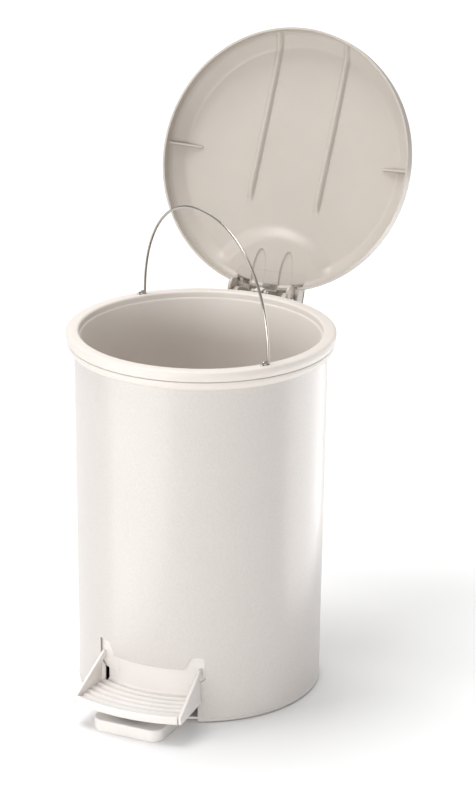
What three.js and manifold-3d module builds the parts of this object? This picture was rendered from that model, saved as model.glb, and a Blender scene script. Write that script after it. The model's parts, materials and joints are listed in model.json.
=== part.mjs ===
// Pedal bin with a lift-out bucket: lid open, pedal pressed, bail upright.
// Millimetres, +Z up, front towards -Y, origin on the floor under the middle of the base.
import * as THREE from 'three';
import { mergeVertices } from 'three/addons/utils/BufferGeometryUtils.js';
import Module from 'manifold-3d';

const wasm = await Module();
wasm.setup();

// ---------------------------------------------------------------- driving sizes
const RIM_RADIUS = 100;
const RIM_TOP = 277;
const ROUND_STEPS = 48;
const GAP = 0.35;

const SHELL_INSET = 6.2;
const SHELL_DROP = 12.8;
const SHELL_TAPER = 1.8;
const SHELL_WALL = 0.8;
const SHELL_FOOT = 1;
const HEM_WIDTH = 6.5;

const CUTOUT_TOP = 42.5;
const CUTOUT_HALF_ANGLE = 24.5;
const NOTCH_TOP = 52.5;
const NOTCH_SILL = 34;
const NOTCH_INNER_ANGLE = 19;
const NOTCH_OUTER_ANGLE = 28;

const FLANGE_WALL = 1.6;
const FLANGE_WIDTH = 8.2;
const FLANGE_DROP = 8;
const BUCKET_WALL = 1.3;
const BUCKET_FLOOR = 35;
const BUCKET_TAPER = 13.8;
const BUCKET_NECK_DROP = 17;
const BUCKET_NECK_INSET = 13;

const COLLAR_HEIGHT = 6.4;
const COLLAR_LEG = 10.7;

const BASE_FLOOR = 2;
const BASE_RING_WIDTH = 8;
const BASE_SKIRT = 14;
const BASE_HUB_RADIUS = 12;
const BASE_SCREWS = 3;
const TONGUE_HALF_WIDTH = 28;
const TONGUE_REACH = 36;
const TONGUE_HEIGHT = 9.5;
const TONGUE_CORNER = 9;

const PEDAL_REACH = 39.5;
const PEDAL_TREAD = 20;
const PEDAL_WALL = 2.5;
const PEDAL_BACK_TOP = 44;
const PEDAL_PASSAGE_ANGLE = 23.2;
const PEDAL_RIBS = 5;
const PEDAL_RIB_PITCH = 6.6;
const CHEEK_WALL = 2.2;
const CHEEK_ANGLE = 26.2;
const CHEEK_SPLAY = 2.5;
const CHEEK_LEAN = 3;

const PIVOT_Y = -8;
const PIVOT_Z = 20;
const PIVOT_RADIUS = 2.5;
const LEVER_HALF_WIDTH = 9;
const LEVER_WALL = 1.5;
const LEVER_WEB_Z = 14.2;
const LEVER_FLANGE = 11;
const ROD_FOOT_Z = 22;
const ROD_RADIUS = 1.25;
const ROD_STEPS = 46;
const GUIDE_Z = 105;

const HINGE_SETBACK = 8;
const HINGE_DROP = 7.2;
const LID_OPEN_ANGLE = 110;
const CRANK_LENGTH = 5.6;
const CRANK_PIN_RADIUS = 1.2;
const CRANK_LOBE = 2.6;
const HINGE_PIN_RADIUS = 1.6;
const BRACKET_HALF_WIDTH = 25.5;
const BRACKET_WALL = 2.2;
const BRACKET_DEPTH = 50;
const EAR_RADIUS = 6.3;
const EAR_RISE = 6.4;
const KNUCKLE_WALL = 4;
const KNUCKLE_RADIUS = 6;

const LID_OVERHANG = 2;
const LID_WALL = 1.4;
const LID_LIP_DROP = 5.2;
const LID_CROWN = 14.4;
const LID_RIB_X = 28.4;
const LID_RIB_SKEW = 3.5;
const NECK_HALF_WIDTH = 28.6;
const NECK_REACH = 5.5;
const NECK_CLEARANCE = 14.2;
const NECK_WALL = 2.2;
const PAD_RADIUS = 52;

const BAIL_ANGLE = 54;
const BAIL_HEIGHT = 89;
const BAIL_INSET = 5.5;
const BAIL_WIRE = 1;
const BAIL_EYE = 2.6;
const BAIL_SHOULDER = 2.2;

// ---------------------------------------------------------------- worked-out sizes
const shellTopRadius = RIM_RADIUS - SHELL_INSET;
const shellFootRadius = shellTopRadius - SHELL_TAPER;
const shellTop = RIM_TOP - SHELL_DROP;
const shellInside = shellFootRadius - SHELL_WALL;
const baseRingRadius = shellFootRadius - HEM_WIDTH - 0.5;
const flangeFoot = RIM_TOP - FLANGE_DROP;
const collarTop = flangeFoot - GAP;
const bucketNeckRadius = RIM_RADIUS - BUCKET_NECK_INSET;
const bucketNeckZ = RIM_TOP - BUCKET_NECK_DROP;
const hinge = { y: RIM_RADIUS + HINGE_SETBACK, z: RIM_TOP - HINGE_DROP };
const openAngle = THREE.MathUtils.degToRad(LID_OPEN_ANGLE);
const lidRadius = RIM_RADIUS + LID_OVERHANG;
const lidLip = RIM_TOP - LID_LIP_DROP;
const neckUnder = hinge.z + NECK_CLEARANCE;
const crankHalfAngle = openAngle / 2;
const bracketFoot = hinge.z - BRACKET_DEPTH - EAR_RISE;
const bracketInside = BRACKET_HALF_WIDTH - BRACKET_WALL;
const rodTopY = hinge.y - 3.5;
const rodFootY = shellInside - 11.2;

// ---------------------------------------------------------------- solids and meshes
// A closed three.js geometry as a manifold solid, with its faces turned outward.
function solid(geometry) {
  const bare = geometry.clone();
  bare.deleteAttribute('normal');
  bare.deleteAttribute('uv');
  const merged = mergeVertices(bare, 1e-4);
  const position = merged.attributes.position;
  const index = Array.from(merged.index.array);
  const corners = [];
  let volume = 0;
  const [a, b, c] = [new THREE.Vector3(), new THREE.Vector3(), new THREE.Vector3()];
  for (let i = 0; i < index.length; i += 3) {
    const [p, q, r] = index.slice(i, i + 3);
    if (p === q || q === r || r === p) continue;
    corners.push([p, q, r]);
    a.fromBufferAttribute(position, p);
    b.fromBufferAttribute(position, q);
    c.fromBufferAttribute(position, r);
    volume += a.dot(b.cross(c));
  }
  const triVerts = corners.flatMap(([p, q, r]) => (volume < 0 ? [p, r, q] : [p, q, r]));
  return new wasm.Manifold(new wasm.Mesh({
    numProp: 3,
    vertProperties: new Float32Array(position.array),
    triVerts: new Uint32Array(triVerts),
  }));
}

function geometryOf(body) {
  const mesh = body.getMesh();
  const geometry = new THREE.BufferGeometry();
  geometry.setAttribute('position', new THREE.Float32BufferAttribute(mesh.vertProperties, 3));
  geometry.setIndex(Array.from(mesh.triVerts));
  geometry.computeVertexNormals();
  return geometry;
}

const join = (bodies) => bodies.reduce((whole, body) => whole.add(body));
const cut = (body, tools) => tools.reduce((rest, tool) => rest.subtract(tool), body);

// Turned shape: a profile of [radius, height] points spun about +Z.
function turned(profile, closed = true, steps = ROUND_STEPS) {
  const points = profile.map(([r, z]) => new THREE.Vector2(r, z));
  if (closed) points.push(points[0].clone());
  return solid(new THREE.LatheGeometry(points, steps).rotateX(Math.PI / 2));
}

function shapeOf(points) {
  return new THREE.Shape(points.map(([x, y]) => new THREE.Vector2(x, y)));
}

function extruded(shape, depth, curveSegments = 12) {
  return new THREE.ExtrudeGeometry(shape, { depth, bevelEnabled: false, curveSegments });
}

// Outline in plan (x, y), raised from z0 to z1.
function slab(shape, z0, z1) {
  return solid(extruded(shape, z1 - z0).translate(0, 0, z0));
}

// Outline seen from the side (y, z), reaching from x0 to x1.
function sidePlate(shape, x0, x1) {
  const axes = new THREE.Matrix4().makeBasis(
    new THREE.Vector3(0, 1, 0),
    new THREE.Vector3(0, 0, 1),
    new THREE.Vector3(1, 0, 0),
  );
  return solid(extruded(shape, x1 - x0).applyMatrix4(axes).translate(x0, 0, 0));
}

function box([x0, x1], [y0, y1], [z0, z1]) {
  const geometry = new THREE.BoxGeometry(x1 - x0, y1 - y0, z1 - z0);
  return solid(geometry.translate((x0 + x1) / 2, (y0 + y1) / 2, (z0 + z1) / 2));
}

function postZ(radius, x, y, z0, z1, sides = 16) {
  const geometry = new THREE.CylinderGeometry(radius, radius, z1 - z0, sides);
  return solid(geometry.rotateX(Math.PI / 2).translate(x, y, (z0 + z1) / 2));
}

function barX(radius, y, z, x0, x1, sides = 20) {
  const geometry = new THREE.CylinderGeometry(radius, radius, x1 - x0, sides);
  return solid(geometry.rotateZ(Math.PI / 2).translate((x0 + x1) / 2, y, z));
}

function barY(radius, x, z, y0, y1, sides = 16) {
  const geometry = new THREE.CylinderGeometry(radius, radius, y1 - y0, sides);
  return solid(geometry.translate(x, (y0 + y1) / 2, z));
}

function circleShape(radius, sides) {
  const points = [];
  for (let i = 0; i < sides; i += 1) {
    const turn = (2 * Math.PI * i) / sides;
    points.push([radius * Math.cos(turn), radius * Math.sin(turn)]);
  }
  return shapeOf(points);
}

function wire(curve, radius, steps, sides = 10) {
  return solid(new THREE.ExtrudeGeometry(circleShape(radius, sides), { extrudePath: curve, steps }));
}

// Wedge in plan from angle0 to angle1, in degrees from the front towards +X.
function wedge(angle0, angle1, reach, z0, z1) {
  const points = [[0, 0]];
  const parts = 4;
  for (let i = 0; i <= parts; i += 1) {
    const turn = THREE.MathUtils.degToRad(angle0 + ((angle1 - angle0) * i) / parts);
    points.push([reach * Math.sin(turn), -reach * Math.cos(turn)]);
  }
  return slab(shapeOf(points), z0, z1);
}

const shellRadiusAt = (z) => shellFootRadius
  + ((shellTopRadius - shellFootRadius) * (z - SHELL_FOOT)) / (shellTop - SHELL_FOOT);
const bucketRadiusAt = (z) => bucketNeckRadius
  - (BUCKET_TAPER * (bucketNeckZ - z)) / (bucketNeckZ - BUCKET_FLOOR);

// ---------------------------------------------------------------- finishes
const finish = (color, roughness, metalness) => ({ color, roughness, metalness });
const coatedSteel = finish(0xe6e1dc, 0.42, 0.0);
const whitePlastic = finish(0xe9e4e0, 0.38, 0.0);
const greyPlastic = finish(0xcfc7bf, 0.45, 0.0);
const brightSteel = finish(0xb9b4ad, 0.25, 1.0);
const zincSteel = finish(0x9fa1a3, 0.4, 0.9);

function piece(name, body, look, parent) {
  const mesh = new THREE.Mesh(geometryOf(body), new THREE.MeshStandardMaterial(look));
  mesh.name = name;
  parent.add(mesh);
  return mesh;
}

// ---------------------------------------------------------------- the shell and what closes it
// The rod leaves the shell through this window and rises behind it.
const windowTop = bracketFoot + 24.6;
const windowFoot = windowTop - 19;
const windowHalf = 3.5;

function pedalOpening() {
  const reach = shellTopRadius + 20;
  const mouth = wedge(-CUTOUT_HALF_ANGLE, CUTOUT_HALF_ANGLE, reach, -5, CUTOUT_TOP);
  const notches = [-1, 1].map((side) => {
    const angles = [side * NOTCH_INNER_ANGLE, side * NOTCH_OUTER_ANGLE].sort((a, b) => a - b);
    return wedge(angles[0], angles[1], reach, NOTCH_SILL, NOTCH_TOP);
  });
  return join([mouth, ...notches]);
}

function rivetPlaces() {
  const low = bracketFoot + 5;
  const high = bracketFoot + 34;
  return [[-13, low], [13, low], [-13, high], [13, high]];
}

function rodWindow(y0, y1) {
  return box([-windowHalf, windowHalf], [y0, y1], [windowFoot, windowTop]);
}

function bodyShell() {
  const wallTop = [shellTopRadius - SHELL_WALL, shellTop];
  const tube = turned([
    [shellFootRadius, SHELL_FOOT],
    [shellTopRadius, shellTop],
    wallTop,
    [shellFootRadius - SHELL_WALL, SHELL_FOOT + SHELL_WALL],
    [shellFootRadius - HEM_WIDTH, SHELL_FOOT + SHELL_WALL],
    [shellFootRadius - HEM_WIDTH, SHELL_FOOT],
  ]);
  const rivetHoles = rivetPlaces().map(([x, z]) => barY(1.9, x, z, 0, 2 * RIM_RADIUS, 12));
  const screwHoles = screwPlaces().map(([x, y]) => postZ(1.6, x, y, -2, 6, 12));
  const guideHole = barY(1.9, 0, GUIDE_Z, 0, 2 * RIM_RADIUS, 12);
  const mouth = pedalOpening();
  const window = rodWindow(0, 2 * RIM_RADIUS);
  return cut(tube, [mouth, window, guideHole, ...rivetHoles, ...screwHoles]);
}

function topCollar() {
  const outer = RIM_RADIUS - 1.3;
  const inner = RIM_RADIUS - 9;
  const shellOut = shellTopRadius + 0.5;
  const shellIn = shellTopRadius - SHELL_WALL - 0.5;
  const foot = collarTop - COLLAR_HEIGHT;
  return turned([
    [shellOut, foot],
    [shellOut + 1.9, foot],
    [outer - 1.1, foot + 1.9],
    [outer, foot + 4.2],
    [outer, collarTop - 0.6],
    [outer - 0.6, collarTop],
    [inner, collarTop],
    [inner, collarTop - COLLAR_LEG],
    [shellIn, collarTop - COLLAR_LEG],
    [shellIn, shellTop + 0.4],
    [shellOut, shellTop + 0.4],
  ]);
}

function screwPlaces() {
  const reach = shellFootRadius - 4;
  const places = [];
  for (let i = 0; i < BASE_SCREWS; i += 1) {
    const turn = THREE.MathUtils.degToRad(60 + (360 * i) / BASE_SCREWS);
    places.push([reach * Math.sin(turn), -reach * Math.cos(turn)]);
  }
  return places;
}

function tongueShape() {
  const front = -(shellFootRadius + TONGUE_REACH);
  const half = TONGUE_HALF_WIDTH;
  const shape = new THREE.Shape();
  shape.moveTo(-half, -baseRingRadius + 10);
  shape.lineTo(-half, front + TONGUE_CORNER);
  shape.absarc(-half + TONGUE_CORNER, front + TONGUE_CORNER, TONGUE_CORNER, Math.PI, 1.5 * Math.PI);
  shape.absarc(half - TONGUE_CORNER, front + TONGUE_CORNER, TONGUE_CORNER, 1.5 * Math.PI, 2 * Math.PI);
  shape.lineTo(half, -baseRingRadius + 10);
  return shape;
}

function baseTray() {
  const outer = shellInside - 0.6;
  const ring = baseRingRadius;
  const under = SHELL_FOOT + SHELL_WALL + GAP;
  const top = under + BASE_FLOOR;
  const dish = turned([
    [0, 0],
    [BASE_HUB_RADIUS, 0],
    [BASE_HUB_RADIUS, under],
    [ring - BASE_RING_WIDTH, under],
    [ring - BASE_RING_WIDTH, 0],
    [ring, 0],
    [ring, under],
    [outer, under],
    [outer, BASE_SKIRT],
    [outer - 1.6, BASE_SKIRT],
    [outer - 1.6, top],
    [0, top],
  ], false);
  const gate = wedge(-NOTCH_OUTER_ANGLE - 2, NOTCH_OUTER_ANGLE + 2, RIM_RADIUS, top, 40);
  const tongue = slab(tongueShape(), 0, TONGUE_HEIGHT);
  const leverRoom = box([-12, 12], [-ring - 8, -ring + 20], [LEVER_WEB_Z - 7, 30]);
  const uprightIn = LEVER_HALF_WIDTH + 1;
  const uprights = [-1, 1].map((side) => {
    const [x0, x1] = [side * uprightIn, side * (uprightIn + 3.5)].sort((a, b) => a - b);
    const shape = shapeOf([
      [PIVOT_Y - 14, top - 1],
      [PIVOT_Y + 14, top - 1],
      [PIVOT_Y + 5, PIVOT_Z + 6],
      [PIVOT_Y - 5, PIVOT_Z + 6],
    ]);
    return sidePlate(shape, x0, x1);
  });
  const pinHole = barX(PIVOT_RADIUS + GAP, PIVOT_Y, PIVOT_Z, -30, 30);
  const screwBosses = screwPlaces().map(([x, y]) => postZ(2.9, x, y, under, top + 4, 16));
  const screwHoles = screwPlaces().map(([x, y]) => postZ(1.6, x, y, -2, 20, 12));
  const whole = join([cut(dish, [gate]), tongue, ...uprights, ...screwBosses]);
  return cut(whole, [leverRoom, pinHole, ...screwHoles]);
}

function baseScrew([x, y]) {
  const head = postZ(2.6, x, y, 0.15, SHELL_FOOT - GAP + 0.1, 16);
  return head.add(postZ(1.2, x, y, 0.5, 7.6, 12));
}

// ---------------------------------------------------------------- pedal and lever
const pedalBack = shellInside - 0.9;
const pedalFront = shellFootRadius + PEDAL_REACH;

function treadProfile() {
  const under = PEDAL_TREAD - PEDAL_WALL;
  const first = pedalBack + 4.2;
  const profile = [
    [pedalBack - PEDAL_WALL, under],
    [pedalFront - 4.5, under],
    [pedalFront - 3.5, under - 1],
    [pedalFront - 1, under - 1],
    [pedalFront, under + 0.6],
    [pedalFront, PEDAL_TREAD + 2],
    [pedalFront - 1.2, PEDAL_TREAD + 3.2],
    [pedalFront - 2.6, PEDAL_TREAD + 2.6],
  ];
  for (let i = PEDAL_RIBS - 1; i >= 0; i -= 1) {
    const r = first + i * PEDAL_RIB_PITCH;
    profile.push([r + 2.4, PEDAL_TREAD]);
    profile.push([r + 0.9, PEDAL_TREAD + 1.3]);
    profile.push([r - 0.9, PEDAL_TREAD + 1.3]);
    profile.push([r - 2.4, PEDAL_TREAD]);
  }
  profile.push([pedalBack - 0.4, PEDAL_TREAD + 1.2]);
  profile.push([pedalBack, PEDAL_BACK_TOP]);
  profile.push([pedalBack - PEDAL_WALL + 0.6, PEDAL_BACK_TOP]);
  return profile;
}

// One side cheek: a triangle that leans out, with a lug that reaches back through the notch.
function pedalCheek(side) {
  const turn = THREE.MathUtils.degToRad(CHEEK_ANGLE);
  const under = -PEDAL_WALL;
  const lugTop = PEDAL_BACK_TOP - PEDAL_TREAD - 0.6;
  const lugFoot = NOTCH_SILL - PEDAL_TREAD + 2.5;
  const start = (pedalBack - 1.2) * Math.cos(turn);
  const clear = (shellFootRadius + 2) * Math.cos(turn) + 2 - start;
  const length = (pedalFront - 1.5) * Math.cos(turn * 0.7) - start;
  const shape = shapeOf([
    [0, lugFoot],
    [clear, lugFoot],
    [clear, under],
    [length, under - 0.8],
    [length, 3],
    [length - 3, 4],
    [4, lugTop],
    [0, lugTop],
  ]);
  const geometry = extruded(shape, CHEEK_WALL).translate(0, 0, -CHEEK_WALL / 2);
  const run = THREE.MathUtils.degToRad(CHEEK_SPLAY);
  geometry.rotateX(-THREE.MathUtils.degToRad(CHEEK_LEAN));
  geometry.applyMatrix4(new THREE.Matrix4().makeBasis(
    new THREE.Vector3(-Math.sin(run), -Math.cos(run), 0),
    new THREE.Vector3(0, 0, 1),
    new THREE.Vector3(-Math.cos(run), Math.sin(run), 0),
  ));
  geometry.translate(-shellFootRadius * Math.sin(turn), -start, PEDAL_TREAD);
  if (side > 0) geometry.applyMatrix4(new THREE.Matrix4().makeScale(-1, 1, 1));
  return solid(geometry);
}

// Ear of the back wall, seen through the notch beside the opening.
function pedalEar(side) {
  const ring = turned([
    [pedalBack - PEDAL_WALL + 0.6, PEDAL_TREAD + 10],
    [pedalBack, PEDAL_TREAD + 10],
    [pedalBack, NOTCH_TOP - 0.5],
    [pedalBack - PEDAL_WALL + 0.6, NOTCH_TOP - 0.5],
  ]);
  const angles = [side * (NOTCH_INNER_ANGLE - 2), side * (NOTCH_OUTER_ANGLE + 1.5)];
  angles.sort((a, b) => a - b);
  return ring.intersect(wedge(angles[0], angles[1], pedalFront, 0, RIM_TOP));
}

// Room for the pedal in plan: narrow through the shell's opening, full width in front of it.
function pedalPlan() {
  const clear = shellFootRadius + 2.3;
  const half = shellFootRadius * Math.sin(THREE.MathUtils.degToRad(CHEEK_ANGLE)) + 0.6;
  const passage = wedge(-PEDAL_PASSAGE_ANGLE, PEDAL_PASSAGE_ANGLE, pedalFront + 20, 0, 80);
  const yard = turned([[clear, 0], [pedalFront, 0], [pedalFront, 80], [clear, 80]]);
  return passage.add(yard).intersect(box([-half, half], [-pedalFront - 1, 0], [0, 80]));
}

function pedalBody() {
  const tread = turned(treadProfile()).intersect(pedalPlan());
  const sides = [-1, 1].flatMap((side) => [pedalCheek(side), pedalEar(side)]);
  const keep = turned([
    [pedalBack - PEDAL_WALL, 0],
    [pedalFront, 0],
    [pedalFront, 80],
    [pedalBack - PEDAL_WALL, 80],
  ]);
  const bosses = pedalScrewPlaces().map(([x, y]) => {
    return postZ(3.4, x, y, LEVER_WEB_Z + LEVER_WALL + GAP, PEDAL_TREAD - 1);
  });
  const holes = pedalScrewPlaces().map(([x, y]) => postZ(1.5, x, y, 0, PEDAL_TREAD - 0.8, 12));
  return cut(join([tread, ...sides]).intersect(keep).add(join(bosses)), holes);
}

function pedalScrewPlaces() {
  return [[0, -(pedalBack + 8)], [0, -(pedalBack + 26)]];
}

function pedalScrew([x, y]) {
  const under = LEVER_WEB_Z - GAP;
  const head = postZ(2.8, x, y, under - 1.3, under, 16);
  return head.add(postZ(1.15, x, y, under - 0.5, PEDAL_TREAD - 1.2, 12));
}

function leverArm() {
  const half = LEVER_HALF_WIDTH;
  const front = -(pedalFront - 7);
  const rear = rodFootY + 5;
  const webEnd = rodFootY - 22;
  const web = box([-half, half], [front, webEnd], [LEVER_WEB_Z, LEVER_WEB_Z + LEVER_WALL]);
  const top = LEVER_WEB_Z + LEVER_FLANGE;
  const flangeFront = -(pedalBack - PEDAL_WALL - 4);
  const flanges = [-half, half - LEVER_WALL].map((x0) => {
    const shape = shapeOf([
      [flangeFront, LEVER_WEB_Z],
      [webEnd, LEVER_WEB_Z],
      [rodFootY - 6, ROD_FOOT_Z - 4],
      [rear, ROD_FOOT_Z - 4],
      [rear, ROD_FOOT_Z + 4],
      [webEnd + 2, top],
      [flangeFront + 10, top],
      [flangeFront, LEVER_WEB_Z + 3],
    ]);
    return sidePlate(shape, x0, x0 + LEVER_WALL);
  });
  const pivotHole = barX(PIVOT_RADIUS + GAP, PIVOT_Y, PIVOT_Z, -half - 2, half + 2);
  const rodHole = barX(ROD_RADIUS + 0.6, rodFootY, ROD_FOOT_Z, 0, half + 2, 16);
  const screwHoles = pedalScrewPlaces().map(([x, y]) => postZ(1.5, x, y, 0, 18, 12));
  return cut(join([web, ...flanges]), [pivotHole, rodHole, ...screwHoles]);
}

const pivotEnd = LEVER_HALF_WIDTH + 7.4;

function leverPivot() {
  const bar = barX(PIVOT_RADIUS, PIVOT_Y, PIVOT_Z, -pivotEnd, pivotEnd);
  const grooves = [-1, 1].map((side) => pivotRing(side, 1.9, PIVOT_RADIUS + 1));
  return cut(bar, grooves);
}

function pivotRing(side, inner, outer, slack = GAP) {
  const middle = side * (pivotEnd - 1.6);
  const reach = 0.5 + slack;
  const disc = barX(outer, PIVOT_Y, PIVOT_Z, middle - reach, middle + reach);
  return disc.subtract(barX(inner, PIVOT_Y, PIVOT_Z, middle - 3, middle + 3));
}

// Spring clip in the groove of the pivot pin, open towards the top.
function pivotClip(side) {
  const middle = side * (pivotEnd - 1.6);
  const ring = pivotRing(side, 2.2, 5, 0);
  const slot = box([middle - 3, middle + 3], [PIVOT_Y - 1.5, PIVOT_Y + 1.5], [PIVOT_Z, PIVOT_Z + 9]);
  return ring.subtract(slot);
}

// ---------------------------------------------------------------- lift rod
const crankUp = CRANK_LENGTH * Math.sin(crankHalfAngle);
const crankNear = CRANK_LENGTH * Math.cos(crankHalfAngle);
const forkZ = hinge.z + crankUp;
const forkFoot = forkZ - 18.5;
const rodWallY = shellRadiusAt(bracketFoot + 14) - 4.2;
const rodPath = new THREE.CatmullRomCurve3([
  [rodFootY, ROD_FOOT_Z - ROD_RADIUS * 0.5],
  [rodFootY, 45],
  [rodWallY - 0.8, bracketFoot],
  [rodWallY + 0.4, bracketFoot + 14],
  [rodTopY - 1, bracketFoot + 29],
  [rodTopY, bracketFoot + 34],
  [rodTopY, forkFoot + 7],
].map(([y, z]) => new THREE.Vector3(0, y, z)));

function rodYAt(z) {
  return rodPath.getPoints(200).find((point) => point.z >= z).y;
}

function liftRod() {
  const upright = wire(rodPath, ROD_RADIUS, ROD_STEPS, 8);
  const hook = barX(ROD_RADIUS + 0.05, rodFootY, ROD_FOOT_Z, -1.3, LEVER_HALF_WIDTH + 4, 12);
  return upright.add(hook);
}

// Washer that grips the foot of the rod outside the lever.
function rodWasher() {
  const x0 = LEVER_HALF_WIDTH + 0.8;
  const disc = barX(3.6, rodFootY, ROD_FOOT_Z, x0, x0 + 1);
  return disc.subtract(barX(ROD_RADIUS + GAP, rodFootY, ROD_FOOT_Z, x0 - 1, x0 + 2));
}

// Fork on top of the rod: its slot opens to the front and takes the lid's crank pin.
function rodFork() {
  const slotHalf = CRANK_PIN_RADIUS + 0.3 + GAP;
  const tip = hinge.y - CRANK_LENGTH - 1.4;
  const back = hinge.y - crankNear + CRANK_PIN_RADIUS + 2.4;
  const shape = shapeOf([
    [rodTopY - 3, forkFoot],
    [back, forkFoot],
    [back, forkZ + slotHalf + 1.6],
    [tip, forkZ + slotHalf + 1.6],
    [tip, forkZ + slotHalf],
    [back - 2, forkZ + slotHalf],
    [back - 2, forkZ - slotHalf],
    [tip, forkZ - slotHalf],
    [tip, forkZ - slotHalf - 1.8],
    [rodTopY - 3, forkZ - slotHalf - 5],
  ]);
  const socket = postZ(ROD_RADIUS + GAP, 0, rodTopY, forkFoot - 5, forkFoot + 7 + GAP, 12);
  return sidePlate(shape, -3, 3).subtract(socket);
}

function rodGuide() {
  const wall = shellRadiusAt(GUIDE_Z) - SHELL_WALL - 0.4;
  const inner = bucketRadiusAt(GUIDE_Z + 10) + 0.8;
  const block = box([-6, 6], [inner, wall + 4], [GUIDE_Z - 5, GUIDE_Z + 5]);
  const inside = turned([[0, 0], [wall, 0], [wall, RIM_TOP], [0, RIM_TOP]], false);
  const rodY = rodYAt(GUIDE_Z);
  const hole = box([-1.9, 1.9], [rodY - 2.2, rodY + 2.2], [0, RIM_TOP]);
  const rivetHole = barY(1.5, 0, GUIDE_Z, wall - 4.5, wall + 6, 12);
  return cut(block.intersect(inside), [hole, rivetHole]);
}

function guideRivet() {
  const wall = shellRadiusAt(GUIDE_Z);
  const head = barY(3, 0, GUIDE_Z, wall + 0.3, wall + 1.4, 16);
  return head.add(barY(1.15, 0, GUIDE_Z, wall - 4.6, wall + 1, 12));
}

// ---------------------------------------------------------------- hinge
function bracketHousing() {
  const topY = hinge.y + EAR_RADIUS;
  const foot = bracketFoot;
  const mouth = hinge.z - 14;
  const bend = shellTopRadius + 5;
  const outline = [
    [shellTopRadius - 6, foot],
    [bend, foot],
    [hinge.y + 1, foot + 10],
    [topY, foot + 28],
    [topY, mouth],
    [shellTopRadius - 6, mouth],
  ];
  const hollow = [
    [shellTopRadius - 8, foot + BRACKET_WALL],
    [bend - 1, foot + BRACKET_WALL],
    [hinge.y + 1 - BRACKET_WALL, foot + 11],
    [topY - BRACKET_WALL, foot + 29],
    [topY - BRACKET_WALL, hinge.z + 40],
    [shellTopRadius - 8, hinge.z + 40],
  ];
  const half = BRACKET_HALF_WIDTH;
  const walls = sidePlate(shapeOf(outline), -half, half);
  const room = sidePlate(shapeOf(hollow), -bracketInside, bracketInside);
  const plateTop = shellTop - 5;
  const plate = turned([
    [shellTopRadius + GAP, foot],
    [shellTopRadius + GAP + 1.5, foot],
    [shellTopRadius + GAP + 1.5, plateTop],
    [shellTopRadius + GAP, plateTop],
  ]).intersect(box([-half, half], [0, 200], [foot, plateTop]));
  const ears = [-1, 1].map(bracketEar);
  const shellRoom = turned([
    [0, 0],
    [shellTopRadius + GAP, 0],
    [shellTopRadius + GAP, RIM_TOP],
    [0, RIM_TOP],
  ], false);
  const pinHole = barX(HINGE_PIN_RADIUS + GAP, hinge.y, hinge.z, -40, 40);
  const inHousing = shellTopRadius + 6;
  const rivetHoles = rivetPlaces().map(([x, z]) => barY(1.9, x, z, 0, inHousing, 12));
  const rivetAccess = rivetPlaces().map(([x, z]) => barY(3.6, x, z, hinge.y - 4, hinge.y + 30, 16));
  const frame = join([walls.subtract(room), plate, ...ears]);
  const tools = [shellRoom, pinHole, rodWindow(0, inHousing), ...rivetHoles, ...rivetAccess];
  return cut(frame, tools);
}

function bracketEar(side) {
  const [x0, x1] = [side * bracketInside, side * BRACKET_HALF_WIDTH].sort((a, b) => a - b);
  const clear = RIM_RADIUS + 0.8;
  const shape = new THREE.Shape();
  shape.moveTo(hinge.y + EAR_RADIUS, hinge.z - 20);
  shape.lineTo(hinge.y + EAR_RADIUS, hinge.z + EAR_RISE);
  shape.absarc(hinge.y, hinge.z + EAR_RISE, EAR_RADIUS, 0, Math.PI);
  shape.lineTo(Math.max(clear, hinge.y - EAR_RADIUS), hinge.z - 8.5);
  shape.lineTo(shellTopRadius - 2, hinge.z - 9.5);
  shape.lineTo(shellTopRadius - 2, hinge.z - 20);
  return sidePlate(shape, x0, x1);
}

function hingeRivet([x, z]) {
  const wall = Math.sqrt(shellRadiusAt(z) ** 2 - x * x);
  const plate = Math.sqrt((shellTopRadius + GAP + 1.5) ** 2 - x * x);
  const innerFace = wall - SHELL_WALL - 1.1;
  const outerFace = plate + 0.9;
  return join([
    barY(2.7, x, z, innerFace - 1.1, innerFace, 16),
    barY(1.45, x, z, innerFace - 0.5, outerFace + 0.5, 12),
    barY(2.7, x, z, outerFace, outerFace + 1.2, 16),
  ]);
}

const knuckleOut = bracketInside - 0.8;

function hingePin(side) {
  const head = BRACKET_HALF_WIDTH + GAP;
  const shank = [side * (knuckleOut - KNUCKLE_WALL - 3), side * (head + 0.5)].sort((a, b) => a - b);
  const cap = [side * head, side * (head + 1.4)].sort((a, b) => a - b);
  const bar = barX(HINGE_PIN_RADIUS, hinge.y, hinge.z, shank[0], shank[1]);
  return bar.add(barX(3.2, hinge.y, hinge.z, cap[0], cap[1]));
}

function hingeWasher(side) {
  const inner = knuckleOut - KNUCKLE_WALL - GAP;
  const span = [side * (inner - 1), side * inner].sort((a, b) => a - b);
  const disc = barX(3.5, hinge.y, hinge.z, span[0], span[1]);
  return disc.subtract(barX(HINGE_PIN_RADIUS + GAP, hinge.y, hinge.z, -40, 40));
}

// ---------------------------------------------------------------- lid, drawn closed
const lidInner = lidRadius - LID_WALL;
const lidTop = RIM_TOP + LID_CROWN;

function lidDish() {
  const shoulder = lidTop - 10;
  return turned([
    [0, lidTop - 1.8],
    [lidRadius * 0.6, lidTop - 2.2],
    [lidRadius - 15, lidTop - 3.6],
    [lidInner - 2.4, shoulder + 1.8],
    [lidInner, shoulder - 0.8],
    [lidInner, lidLip],
    [lidRadius, lidLip],
    [lidRadius, shoulder],
    [lidRadius - 1.6, shoulder + 3.4],
    [lidRadius - 12, lidTop - 1.8],
    [lidRadius * 0.6, lidTop - 0.4],
    [0, lidTop],
  ], false);
}

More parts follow.
